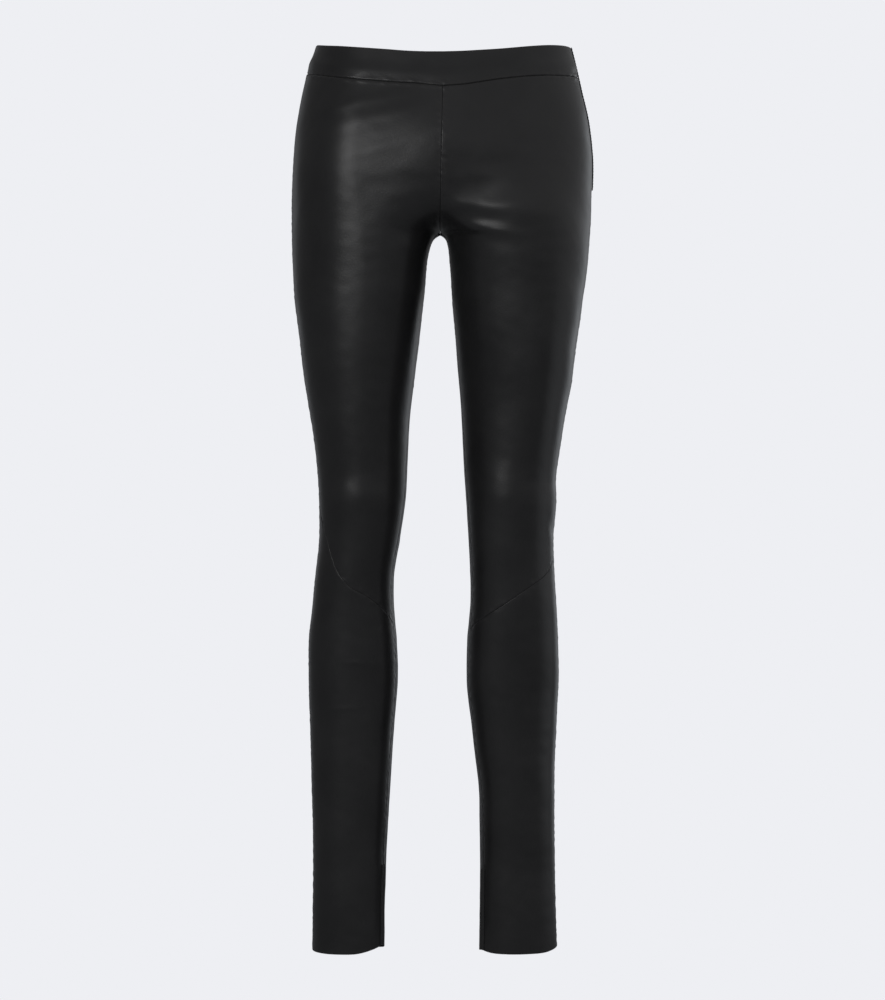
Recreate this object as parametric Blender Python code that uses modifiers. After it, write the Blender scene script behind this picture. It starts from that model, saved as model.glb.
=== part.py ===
"""Slim leather leggings, filled out as if worn: panels, waistband and concealed zips.

Metres, +Z up. The wearer faces -Y, so the wearer's left is +X. The origin is the middle of
the waist opening, level with the band's top edge at the sides. Tables are in millimetres,
and a drop is the distance below the origin.
"""

from collections import namedtuple

import bpy
import numpy as np

MM = 0.001
RIGHT, LEFT = -1, 1

# Cloth
WALL = 1.2 * MM
BAND_WALL = 2.2 * MM
SEAM_GAP = 0.3 * MM
SEAM_STRIP = 1.2 * MM  # width of the first column beside a seam
PANEL_WIDTH = 160 * MM  # a panel's usual width

# Heights, as drops below the origin
CROTCH = 207.0
HEM = 991.0
BAND_TOP_BACK = 1.0
BAND_SEAM_BACK = 37.0
BACK_SEAM_LEVELS = 0.8  # share of the back's width over which its band seam levels out

# Round of the cloth where the legs part, and how far above it the centre seam's gap is the
# planes' alone
ARCH_ROUND = 3.0
SEAM_EASE = 12.0
CROTCH_EASE = 30.0  # how far above and below the crotch the columns change evenly
CROTCH_FOLLOW = 5.0  # how closely beside the seam the columns follow its turn under

# Zips
SIDE_ZIP = {"length": 156.0, "width": 7.0, "wall": 1.0, "rows": 8, "columns": 4}
ANKLE_ZIP = {"length": 88.0, "width": 9.0, "wall": 0.8, "rows": 5, "columns": 4}

# Mesh: points along an arc, columns across a panel, and rows down it
ARC_STEPS = 24
ARC_CROWDING = 1.6  # crowds an arc's points towards its inner edge
PANEL_COLUMNS = 10
BAND_ROWS = 4
CROTCH_ROWS = {"above": 10, "below": 7}
CROTCH_ZONE = {"above": 112.0, "below": 62.0}
CROTCH_CROWDING = 1.5  # crowds the rows of that zone towards the crotch
FRONT_TOP_ROWS = (45, 60, 77)
BACK_TOP_ROWS = (36, 55, 75)
THIGH_ROWS = 12
KNEE_LEVEL = 580.0
SHIN_ROWS = 17
BACK_ROWS = 25
NEAR_SHARE, NEAR_DROP = 0.004, 0.6  # steps from a point to its neighbours for its normal

# How far from a seam the rows bend to follow it
BEND = {"band": 70, "back_band": 60, "knee_above": 260, "knee_below": 300, "hem": 40}

Section = namedtuple(
    "Section", "drop outer_right outer_left crest_right crest_left front back"
)
# Distances from the plane X = 0 of each leg's outer edge and of its foremost and rearmost
# line, and distances from the plane Y = 0 of the front and the back.
SECTIONS = (
    Section(0, 137.4, 141.6, 72, 73, 79, 84),
    Section(30, 147.4, 149.0, 78, 78, 84.5, 91),
    Section(50, 152.5, 153.6, 82, 81, 88.5, 96),
    Section(80, 158.2, 160.7, 87, 84, 94.5, 104),
    Section(103, 161.2, 163.9, 90, 86, 98.2, 110),
    Section(125, 163.2, 165.6, 93, 88, 100.1, 115),
    Section(170, 164.9, 165.3, 89, 93, 101.3, 118),
    Section(207, 164.9, 163.7, 84, 97, 101.5, 111),
    Section(235, 163.9, 161.3, 81, 97, 101.6, 100),
    Section(280, 161.3, 155.3, 80.5, 98.5, 101.0, 84),
    Section(320, 156.2, 149.4, 82.5, 98, 99.0, 71),
    Section(365, 150.6, 143.2, 85, 94.5, 95.5, 60),
    Section(410, 143.1, 134.7, 86, 89.5, 91.5, 49),
    Section(455, 136.8, 127.7, 86.3, 83, 87, 39.6),
    Section(478, 135.2, 125.0, 86.2, 78, 85.5, 37.6),
    Section(500, 134.0, 125.2, 86.7, 76.0, 84.5, 36.4),
    Section(545, 134.3, 122.6, 90.2, 76.1, 78.2, 32.6),
    Section(585, 138.2, 123.9, 95.1, 77.7, 73.0, 32.2),
    Section(610, 141.0, 125.7, 96.6, 78.6, 70.6, 34.8),
    Section(655, 145.0, 127.9, 96.9, 78.1, 66.7, 40.5),
    Section(695, 145.9, 128.4, 96.9, 78.2, 63.6, 44),
    Section(740, 144.5, 126.3, 97.8, 79.1, 60.6, 43.5),
    Section(830, 141.7, 124.1, 99.7, 82.4, 56, 37),
    Section(895, 141.0, 124.3, 100.8, 83.4, 53, 33),
    Section(996, 142.0, 126.6, 102.4, 84.0, 49.5, 33),
)

InnerEdge = namedtuple("InnerEdge", "drop right left inseam")
# Distances of the inner edges from the plane X = 0, and how far the inseam lies in front
# of them. They start where the centre seam ends.
INNER_EDGES = (
    InnerEdge(207, 1.6, -1.6, 0),
    InnerEdge(212, 8.8, 5.0, 0),
    InnerEdge(220, 11.8, 7.2, 0),
    InnerEdge(235, 15.2, 8.8, 0),
    InnerEdge(280, 19.5, 11.7, 2),
    InnerEdge(365, 29.3, 18.4, 8),
    InnerEdge(410, 34.3, 22.2, 11),
    InnerEdge(455, 37.0, 24.0, 14),
    InnerEdge(500, 39.4, 26.7, 17),
    InnerEdge(545, 46.2, 29.5, 19),
    InnerEdge(585, 52.0, 31.5, 20),
    InnerEdge(610, 52.2, 31.5, 20),
    InnerEdge(655, 48.8, 28.3, 20),
    InnerEdge(695, 47.8, 28.0, 20),
    InnerEdge(740, 51.0, 31.9, 20),
    InnerEdge(830, 57.6, 41.8, 21),
    InnerEdge(895, 60.5, 42.5, 21),
    InnerEdge(996, 62.8, 41.4, 21),
)

CrotchPoint = namedtuple("CrotchPoint", "drop front back")
# How far round the inner half of each leg's section the centre seam lies, as a share of its
# width if it were as square as CROTCH_POWER.
CROTCH_CURVE = (
    CrotchPoint(0, 0.02, 0.05),
    CrotchPoint(50, 0.03, 0.28),
    CrotchPoint(90, 0.06, 0.46),
    CrotchPoint(127, 0.14, 0.65),
    CrotchPoint(157, 0.26, 0.77),
    CrotchPoint(177, 0.46, 0.845),
    CrotchPoint(192, 0.70, 0.91),
    CrotchPoint(200, 0.86, 0.945),
    CrotchPoint(207, 1.00, 1.00),
)
CROTCH_POWER = 3.0

SquarePoint = namedtuple("SquarePoint", "drop right left")
# How square each leg's inner half is, where 2 is a plain ellipse.
SQUARENESS = (
    SquarePoint(0, 2.3, 2.3),
    SquarePoint(120, 2.4, 2.4),
    SquarePoint(170, 2.7, 2.6),
    SquarePoint(207, 3.0, 3.0),
    SquarePoint(232, 3.1, 2.6),
    SquarePoint(260, 2.9, 2.4),
    SquarePoint(310, 2.4, 2.2),
    SquarePoint(365, 2.1, 2.0),
    SquarePoint(420, 2.0, 1.95),
    SquarePoint(500, 2.0, 1.95),
    SquarePoint(560, 2.2, 2.2),
    SquarePoint(620, 2.3, 2.3),
    SquarePoint(996, 2.3, 2.3),
)

FullnessPoint = namedtuple("FullnessPoint", "drop front back")
# How much fuller the middle of the body is than the legs' own sections.
FULLNESS = (
    FullnessPoint(0, 7.0, 8.0),
    FullnessPoint(30, 8.0, 6.8),
    FullnessPoint(60, 10.3, 4.0),
    FullnessPoint(90, 13.2, 1.2),
    FullnessPoint(112, 13.6, 0.2),
    FullnessPoint(135, 12.2, 0.0),
    FullnessPoint(157, 10.2, 0.0),
    FullnessPoint(180, 8.2, 0.0),
    FullnessPoint(207, 5.0, 0.0),
    FullnessPoint(235, 2.0, 0.0),
    FullnessPoint(260, 0.5, 0.0),
    FullnessPoint(290, 0.0, 0.0),
    FullnessPoint(330, 0.0, 0.0),
    FullnessPoint(996, 0.0, 0.0),
)

SeamPoint = namedtuple("SeamPoint", "share right left")
# Drop of the band's top edge at the front, by the share of the way from centre to side.
BAND_TOP = (
    SeamPoint(0.00, 16.7, 16.7),
    SeamPoint(0.10, 16.5, 16.1),
    SeamPoint(0.20, 15.6, 14.7),
    SeamPoint(0.30, 13.8, 13.2),
    SeamPoint(0.40, 12.0, 11.4),
    SeamPoint(0.50, 10.0, 9.2),
    SeamPoint(0.60, 7.8, 7.0),
    SeamPoint(0.70, 5.5, 5.3),
    SeamPoint(0.80, 3.1, 4.1),
    SeamPoint(0.90, 1.0, 3.2),
    SeamPoint(1.00, 0.0, 2.2),
)
# Drop of the seam under the band, by the share of the way from centre front to side seam.
BAND_SEAM = (
    SeamPoint(0.00, 55.0, 55.0),
    SeamPoint(0.10, 52.5, 53.5),
    SeamPoint(0.30, 49.5, 47.0),
    SeamPoint(0.50, 45.0, 42.5),
    SeamPoint(0.75, 37.0, 38.5),
    SeamPoint(1.00, 30.5, 34.5),
)
# Drop of the seam under the knee, by the share of the way from inseam to side seam.
KNEE_SEAM = (
    SeamPoint(0.00, 635, 640),
    SeamPoint(0.15, 618, 629),
    SeamPoint(0.30, 604, 616),
    SeamPoint(0.45, 592, 602),
    SeamPoint(0.60, 571, 590),
    SeamPoint(0.75, 538, 579),
    SeamPoint(0.90, 512, 564),
    SeamPoint(1.00, 497, 551),
)
# Drop of the hem, by the share of the way from inseam to side seam, front and back alike.
HEM_LINE = (
    SeamPoint(0.00, 985.2, 990.8),
    SeamPoint(0.15, 989.5, 993.0),
    SeamPoint(0.30, 993.0, 993.4),
    SeamPoint(0.50, 993.8, 993.2),
    SeamPoint(0.70, 993.6, 992.6),
    SeamPoint(0.85, 993.0, 990.4),
    SeamPoint(1.00, 991.6, 988.2),
)

CrestPoint = namedtuple("CrestPoint", "drop front back")
# Share of each panel's width at which the leg's foremost or rearmost line runs down it.
CRESTS = (
    CrestPoint(0, 0.36, 0.64),
    CrestPoint(120, 0.44, 0.56),
    CrestPoint(207, 0.49, 0.51),
    CrestPoint(320, 0.48, 0.49),
    CrestPoint(545, 0.42, 0.44),
    CrestPoint(996, 0.41, 0.43),
)

CentrePoint = namedtuple("CentrePoint", "drop x")
# The centre seam hangs a little out of true.
CENTRE_SEAM = (CentrePoint(45, 1.4), CentrePoint(207, -1.6))

Fold = namedtuple("Fold", "side share drop reach half_height rise slope")
# Ridges and troughs of the front beside the crotch. Slope is drop gained per unit of share.
FOLDS = (
    Fold(LEFT, 0.45, 220, 0.19, 52.0, 6.0, 0),
    Fold(LEFT, 0.44, 285, 0.20, 45.0, 3.5, 0),
    Fold(LEFT, 0.22, 180.5, 0.20, 7.0, 1.9, -26),
    Fold(LEFT, 0.30, 210, 0.15, 7.0, 3.6, 54),
)

MATERIALS = {
    # name: (colour, roughness)
    "leather": ((0.016, 0.016, 0.018), 0.42),
    "band_leather": ((0.017, 0.017, 0.019), 0.42),
    "zip_tape": ((0.008, 0.008, 0.009), 0.85),
}


# --- smooth curves through the tables ------------------------------------------------


def through(points, at):
    """Value at each place of the smooth curve through (place, value) points."""
    places, values = np.array(points, float).T
    slopes = np.gradient(values, places)
    at = np.clip(at, places[0], places[-1])
    k = np.clip(np.searchsorted(places, at, side="right") - 1, 0, len(places) - 2)
    step = places[k + 1] - places[k]
    t = (at - places[k]) / step
    return (
        values[k] * (1 + 2 * t) * (1 - t) ** 2
        + values[k + 1] * (3 - 2 * t) * t**2
        + step * slopes[k] * t * (1 - t) ** 2
        - step * slopes[k + 1] * (1 - t) * t**2
    )


def column(rows, key, place):
    """(place, value) points of one column of a table."""
    return [(getattr(row, place), getattr(row, key)) for row in rows]


def section_size(key, drop):
    return through(column(SECTIONS, key, "drop"), drop)


def seam_drop(rows, side, share):
    return through(column(rows, "right" if side == RIGHT else "left", "share"), share)


def faded(distance, reach):
    """1 at no distance, 0 at the reach, smooth between."""
    t = np.clip(distance / reach, 0, 1)
    return 1 - t * t * (3 - 2 * t)


def centre_x(drop):
    places, values = zip(*CENTRE_SEAM)
    return np.interp(drop, places, values)


# --- the leg's section ----------------------------------------------------------------


def inner_reach(side, drop, crest, face, square):
    """Half width of the section's inner half, as if the arch had no round."""
    word = "right" if side == RIGHT else "left"
    gaps = [
        (row.drop, (getattr(row, word) - side * centre_x(row.drop)) ** 2)
        for row in INNER_EDGES
    ]
    parted = crest - np.sqrt(np.maximum(through(gaps, drop), 0) + ARCH_ROUND**2)
    round_to_seam = through(column(CROTCH_CURVE, face, "drop"), drop)
    depth_left = (1 - np.clip(round_to_seam, 0, 1) ** CROTCH_POWER) ** (1 / CROTCH_POWER)
    share = (1 - depth_left**square) ** (1 / square)
    joined = (crest - ARCH_ROUND) / np.maximum(share, 0.01)
    return np.where(drop < CROTCH, joined, parted)


def half_arcs(side, drop, plane, sizes, face):
    """Arcs of one face of the leg, from the inner edge to the crest and on to the side."""
    outer, crest, middle, depth = sizes
    square = through(column(SQUARENESS, "right" if side == RIGHT else "left", "drop"), drop)
    reach = inner_reach(side, drop, crest, face, square)
    power = 2 / square
    edge = np.arcsin(np.clip((crest - ARCH_ROUND) / reach, 0, 1) ** (1 / power))
    outer, crest, reach, edge, power, middle, depth = (
        value[:, None] for value in (outer, crest, reach, edge, power, middle, depth)
    )
    inner_turn = edge * (1 - np.linspace(0, 1, ARC_STEPS) ** ARC_CROWDING)
    outer_turn = np.linspace(0, 1, ARC_STEPS)[1:] * np.pi / 2 * np.ones_like(edge)
    inner = crest - reach * np.sin(inner_turn) ** power
    outside = crest + (outer - crest) * np.sin(outer_turn)
    across = np.concatenate([inner, outside], 1)
    across = np.sqrt(np.maximum(across**2 - ARCH_ROUND**2, 0))
    turned = np.concatenate([np.cos(inner_turn) ** power, np.cos(outer_turn)], 1)
    along = middle + depth * turned
    fullness = through(column(FULLNESS, face, "drop"), drop)[:, None]
    along += np.sign(depth) * fullness * np.cos(np.pi / 2 * across / outer) ** 2
    return np.stack([plane[:, None] + across, along], 2)


def section_loop(side, drop, gap):
    """Loops round one leg at the given drops, from the inner edge over the front, side and
    back to the inner edge, and on over the first arc again. Millimetres from the plane."""
    word = "right" if side == RIGHT else "left"
    plane = side * centre_x(drop) + gap / 2
    outer, crest = (
        np.hypot(section_size(size + word, drop) - plane, ARCH_ROUND)
        for size in ("outer_", "crest_")
    )
    front, back = -section_size("front", drop), section_size("back", drop)
    middle = (front + back) / 2
    ahead = half_arcs(side, drop, plane, (outer, crest, middle, front - middle), "front")
    behind = half_arcs(side, drop, plane, (outer, crest, middle, back - middle), "back")
    return np.concatenate([ahead, behind[:, -2::-1], ahead[:, 1:ARC_STEPS]], 1)


def loops_and_lengths(side, drop, gap):
    """Loops round one leg, and the length along each of them at each of its points."""
    loops = section_loop(side, drop, gap)
    steps = np.linalg.norm(np.diff(loops, axis=1), axis=2)
    return loops, np.concatenate([np.zeros((len(drop), 1)), np.cumsum(steps, 1)], 1)


def panel_marks(face, drop, lengths, gap):
    """Lengths along the loop at which a panel starts, passes its crest and ends."""
    inseam = through(column(INNER_EDGES, "inseam", "drop"), drop)
    inner_gap = gap / 2 * faded(CROTCH - drop, SEAM_EASE)
    ends = [lengths[:, k * (ARC_STEPS - 1)] for k in (1, 2, 3, 4)]
    if face == "front":
        return inseam + inner_gap, ends[0], ends[1] - gap / 2
    return ends[1] + gap / 2, ends[2], ends[3] + inseam - inner_gap


def even_inner_length(side, face, drop, inner, gap):
    """Length of a panel's inner half, but changing evenly past the crotch."""
    beside = np.array([CROTCH - CROTCH_EASE, CROTCH + CROTCH_EASE])
    lengths = loops_and_lengths(side, beside, gap)[1]
    start, crest, end = panel_marks(face, beside, lengths, gap)
    above, below = crest - start if face == "front" else end - crest
    even = above + (below - above) * (1 - faded(drop - beside[0], 2 * CROTCH_EASE))
    return np.where(np.abs(drop - CROTCH) < CROTCH_EASE, even, inner)


def target_lengths(side, face, share, drop, lengths, gap):
    """Length along the loop at each share of a panel's width. The crest keeps its share,
    and where the seam turns under the crotch only the columns beside it follow."""
    crest_share = through(column(CRESTS, face, "drop"), drop)
    start, crest, end = panel_marks(face, drop, lengths, gap)
    before, after = share / crest_share, (share - crest_share) / (1 - crest_share)
    off, inner = (1 - before, crest - start) if face == "front" else (after, end - crest)
    off = np.clip(off, 0, 1)
    even = even_inner_length(side, face, drop, inner, gap)
    from_crest = even * off + (inner - even) * off**CROTCH_FOLLOW
    if face == "front":
        return np.where(share < crest_share, crest - from_crest, crest + (end - crest) * after)
    return np.where(share < crest_share, start + (crest - start) * before, crest + from_crest)


def at_lengths(loops, lengths, targets):
    """Point of each loop at its target length."""
    k = np.clip((lengths <= targets[:, None]).sum(1) - 1, 0, lengths.shape[1] - 2)
    row = np.arange(len(k))
    step = np.maximum(lengths[row, k + 1] - lengths[row, k], 1e-9)
    t = ((targets - lengths[row, k]) / step)[:, None]
    return loops[row, k] * (1 - t) + loops[row, k + 1] * t


def leg_points(side, face, share, drop, gap=SEAM_GAP / MM, aside=0.0):
    """Points of a leg's surface, in millimetres. On the front, share runs from the inseam
    or centre seam to the side seam, and on the back it runs on from there to the inseam.
    Aside moves a point that many millimetres along the loop."""
    share, drop, aside = (
        np.broadcast_to(a, np.broadcast(share, drop, aside).shape) for a in (share, drop, aside)
    )
    shape = share.shape
    share, drop, aside = share.ravel(), drop.ravel(), aside.ravel()
    loops, lengths = loops_and_lengths(side, drop, gap)
    targets = target_lengths(side, face, share, drop, lengths, gap) + aside
    flat = at_lengths(loops, lengths, targets)
    points = np.stack([side * flat[:, 0], flat[:, 1], -drop], 1)
    return points.reshape(*shape, 3)


def outward(side, face, share, drop):
    """Unit normals of the leg's surface, pointing out."""
    low, high = np.clip(share - NEAR_SHARE, 0, 1), np.clip(share + NEAR_SHARE, 0, 1)
    along = leg_points(side, face, high, drop) - leg_points(side, face, low, drop)
    above = leg_points(side, face, share, drop - NEAR_DROP)
    down = leg_points(side, face, share, drop + NEAR_DROP) - above
    normals = side * np.cross(down, along)
    return normals / np.maximum(np.linalg.norm(normals, axis=-1, keepdims=True), 1e-9)


def fold_rise(side, share, drop):
    """How far the front's folds lift it off its smooth form."""
    rise = np.zeros(np.broadcast(share, drop).shape)
    for fold in FOLDS:
        if fold.side != side:
            continue
        off = (share - fold.share) / fold.reach
        line = fold.drop + fold.slope * (share - fold.share)
        rise = rise + fold.rise * np.exp(-(off**2) - ((drop - line) / fold.half_height) ** 2)
    return rise


# --- building -------------------------------------------------------------------------


def clear_scene():
    for obj in list(bpy.data.objects):
        bpy.data.objects.remove(obj, do_unlink=True)


def make_material(name):
    colour, roughness = MATERIALS[name]
    material = bpy.data.materials.new(name)
    material.use_nodes = True
    shader = material.node_tree.nodes["Principled BSDF"]
    shader.inputs["Base Color"].default_value = (*colour, 1)
    shader.inputs["Roughness"].default_value = roughness
    shader.inputs["Metallic"].default_value = 0
    return material


def add_cloth(collection, name, points, wall, material, outwards=False):
    """Object from a grid of points in millimetres, whose faces point out, with a wall."""
    rows, columns = points.shape[:2]
    index = np.arange(rows * columns).reshape(rows, columns)
    faces = np.stack(
        [index[:-1, :-1], index[1:, :-1], index[1:, 1:], index[:-1, 1:]], -1
    ).reshape(-1, 4)
    mesh = bpy.data.meshes.new(name)
    mesh.from_pydata((points.reshape(-1, 3) * MM).tolist(), [], faces.tolist())
    mesh.materials.append(material)
    mesh.shade_smooth()
    obj = bpy.data.objects.new(name, mesh)
    collection.objects.link(obj)
    solidify = obj.modifiers.new("wall", "SOLIDIFY")
    solidify.thickness = wall
    solidify.offset = 1 if outwards else -1
    return obj


def shares_across(columns):
    """Even shares of a panel's width, with a narrow column beside each seam."""
    edge = SEAM_STRIP / PANEL_WIDTH
    return np.concatenate([[0, edge], np.linspace(0, 1, columns)[1:-1], [1 - edge, 1]])


def drops_beside_crotch():
    """Drops that crowd together at the crotch, where the surface turns under."""
    above = np.linspace(1, 0, CROTCH_ROWS["above"]) ** CROTCH_CROWDING
    below = np.linspace(0, 1, CROTCH_ROWS["below"])[1:] ** CROTCH_CROWDING
    return np.concatenate(
        [CROTCH - CROTCH_ZONE["above"] * above, CROTCH + CROTCH_ZONE["below"] * below]
    )


def rows_between(drops, top, bottom, top_reach, bottom_reach):
    """Grid of drops, bent near its ends to follow the seams there."""
    drops = drops[:, None]
    high, low = drops[0], drops[-1]
    return (
        drops
        + (top + SEAM_GAP / MM / 2 - high) * faded(drops - high, top_reach)
        + (bottom - SEAM_GAP / MM / 2 - low) * faded(low - drops, bottom_reach)
    )


def from_inside_out(side, grid):
    """Column order that makes a grid's faces point out."""
    return grid if side == LEFT else grid[:, ::-1]


def front_thigh(collection, side, name, material):
    shares = shares_across(PANEL_COLUMNS)
    top = seam_drop(BAND_SEAM, side, shares)
    knee = seam_drop(KNEE_SEAM, side, shares)
    beside = drops_beside_crotch()
    thigh = np.linspace(beside[-1], KNEE_LEVEL, THIGH_ROWS)[1:]
    levels = np.concatenate([FRONT_TOP_ROWS, beside, thigh])
    drops = rows_between(levels, top, knee, BEND["band"], BEND["knee_above"])
    points = leg_points(side, "front", shares, drops)
    rise = fold_rise(side, shares, drops)[..., None]
    points = points + outward(side, "front", shares, drops) * rise
    add_cloth(collection, name, from_inside_out(side, points), WALL, material)


def front_shin(collection, side, name, material):
    shares = shares_across(PANEL_COLUMNS)
    knee = seam_drop(KNEE_SEAM, side, shares)
    hem = seam_drop(HEM_LINE, side, shares)
    levels = np.linspace(KNEE_LEVEL, HEM, SHIN_ROWS)
    drops = rows_between(levels, knee, hem, BEND["knee_below"], BEND["hem"])
    points = leg_points(side, "front", shares, drops)
    add_cloth(collection, name, from_inside_out(side, points), WALL, material)


def band_seam_on_back(side, shares):
    at_side = seam_drop(BAND_SEAM, side, 1.0)
    return BAND_SEAM_BACK + (at_side - BAND_SEAM_BACK) * faded(shares, BACK_SEAM_LEVELS)


def band_top_on_back(side, shares):
    at_side = seam_drop(BAND_TOP, side, 1.0)
    return BAND_TOP_BACK + (at_side - BAND_TOP_BACK) * faded(shares, BACK_SEAM_LEVELS)


def back_leg(collection, side, name, material):
    shares = shares_across(PANEL_COLUMNS)
    beside = drops_beside_crotch()
    below = np.linspace(beside[-1], HEM, BACK_ROWS)[1:]
    levels = np.concatenate([BACK_TOP_ROWS, beside, below])
    seam = band_seam_on_back(side, shares)
    hem = seam_drop(HEM_LINE, side, 1 - shares)
    drops = rows_between(levels, seam, hem, BEND["back_band"], BEND["hem"])
    points = leg_points(side, "back", shares, drops)
    add_cloth(collection, name, from_inside_out(side, points), WALL, material)


def band(collection, name, face, material):
    """Half of the waistband, from one side seam over the centre to the other."""
    shares = shares_across(PANEL_COLUMNS)
    side_seam, inwards = (1, -1) if face == "front" else (0, 1)
    aside = (shares == side_seam) * inwards * SEAM_GAP / MM / 2
    halves = []
    for side in (RIGHT, LEFT):
        if face == "front":
            top = seam_drop(BAND_TOP, side, shares)
            seam = seam_drop(BAND_SEAM, side, shares)
        else:
            top = band_top_on_back(side, shares)
            seam = band_seam_on_back(side, shares)
        seam = seam - SEAM_GAP / MM / 2
        drops = top + (seam - top) * np.linspace(0, 1, BAND_ROWS)[:, None]
        halves.append(leg_points(side, face, shares, drops, gap=0.0, aside=aside))
    right, left = halves
    if face == "front":
        grid = np.concatenate([right[:, ::-1], left[:, 1:]], 1)
    else:
        grid = np.concatenate([left, right[:, -2::-1]], 1)
    add_cloth(collection, name, grid, BAND_WALL, material)


def strip(collection, name, side, face, share, drops, size, material):
    """Zip strip along a seam, moved out from the panels' own surface."""
    aside = np.linspace(-0.5, 0.5, size["columns"])[None, :] * size["width"]
    points = leg_points(side, face, share, drops[:, None], aside=aside)
    normals = outward(side, face, np.full(len(drops), share), drops)[:, None, :]
    points = points + normals * SEAM_GAP / MM
    grid = from_inside_out(side, points)
    add_cloth(collection, name, grid, size["wall"] * MM, material, outwards=True)


def main():
    clear_scene()
    collection = bpy.data.collections.new("leather_leggings")
    bpy.context.scene.collection.children.link(collection)
    leather, band_leather, tape = (make_material(name) for name in MATERIALS)
    for side, word in ((RIGHT, "right"), (LEFT, "left")):
        front_thigh(collection, side, "front_thigh_" + word, leather)
        front_shin(collection, side, "front_shin_" + word, leather)
        back_leg(collection, side, "back_leg_" + word, leather)
        foot = seam_drop(HEM_LINE, side, 0.0)
        drops = np.linspace(foot - ANKLE_ZIP["length"], foot, ANKLE_ZIP["rows"])
        name = "ankle_zip_" + word
        strip(collection, name, side, "front", 0.0, drops, ANKLE_ZIP, tape)
    band(collection, "waistband_front", "front", band_leather)
    band(collection, "waistband_back", "back", band_leather)
    top = seam_drop(BAND_TOP, LEFT, 1.0)
    drops = np.linspace(top, top + SIDE_ZIP["length"], SIDE_ZIP["rows"])
    strip(collection, "side_zip", LEFT, "front", 1.0, drops, SIDE_ZIP, tape)


if __name__ == "__main__":
    main()
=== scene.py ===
"""Slim black leather leggings, filled out as if worn, as a Blender add-on.

Run as a script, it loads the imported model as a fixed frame, builds each panel, band and zip
on the form of its own solid, and sets a studio round them. Metres, +Z up, the wearer faces
-Y and the wearer's left is +X. Tables are in millimetres, and a drop is the distance below
the origin, which is the middle of the waist opening.
"""

from collections import namedtuple
from math import cos, radians, sin

import bpy
import numpy as np
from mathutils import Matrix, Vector


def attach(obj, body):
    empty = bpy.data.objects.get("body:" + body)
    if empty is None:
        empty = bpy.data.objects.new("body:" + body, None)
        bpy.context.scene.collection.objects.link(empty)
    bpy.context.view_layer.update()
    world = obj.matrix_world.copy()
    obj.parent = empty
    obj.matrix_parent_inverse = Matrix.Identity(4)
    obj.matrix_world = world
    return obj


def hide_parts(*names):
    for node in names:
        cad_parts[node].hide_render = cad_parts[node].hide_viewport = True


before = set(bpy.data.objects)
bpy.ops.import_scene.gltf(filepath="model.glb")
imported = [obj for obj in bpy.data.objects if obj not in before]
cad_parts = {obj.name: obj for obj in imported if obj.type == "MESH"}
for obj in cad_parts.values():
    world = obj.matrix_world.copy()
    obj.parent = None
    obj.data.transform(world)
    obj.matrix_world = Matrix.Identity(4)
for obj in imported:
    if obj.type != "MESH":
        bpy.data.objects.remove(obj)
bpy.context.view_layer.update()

bl_info = {
    "name": "Leather Leggings",
    "version": (1, 0, 0),
    "blender": (4, 5, 0),
    "location": "3D View > Sidebar > Leggings",
    "description": "Builds slim leather leggings and a studio round them",
    "category": "Object",
}

MM = 0.001
RIGHT, LEFT = -1, 1
WORDS = {RIGHT: "right", LEFT: "left"}


def table(columns, *rows):
    """Rows whose values go by the columns' names."""
    row_type = namedtuple("Row", columns)
    return [row_type(*row) for row in rows]


# --- sizes of the form, as in the solids ------------------------------------------------

WALL = 1.2
BAND_WALL = 2.2
SEAM_GAP = 0.3
SEAM_LAP = 0.1  # the leather laps over itself at seams, so that no light comes through
CROTCH = 207.0
HEM = 991.0
BAND_TOP_BACK = 1.0
BAND_SEAM_BACK = 37.0
BACK_SEAM_LEVELS = 0.8  # share of the back's width by which the band's edges are level
ARCH_ROUND = 3.0  # how round the arch is where the legs part
SEAM_EASE = 12.0  # distance above the crotch in which the inseam's gap opens
CROTCH_EASE = 30.0  # how far above and below the crotch the columns change evenly
CROTCH_FOLLOW = 5.0  # how closely beside the seam the columns follow its turn under
KNEE_LEVEL = 580.0
FRONT_TOP, BACK_TOP = 45.0, 36.0  # levels at which the rows of the panels start
# How far from each seam the rows of a panel bend to follow it.
BEND = {"band": 70, "back_band": 60, "knee_above": 260, "knee_below": 300, "hem": 40}
SIDE_ZIP = {"width": 7.0, "wall": 1.0}
ANKLE_ZIP = {"width": 9.0, "wall": 0.8}

ARC_STEPS = 24
ARC_CROWDING = 1.6

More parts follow.
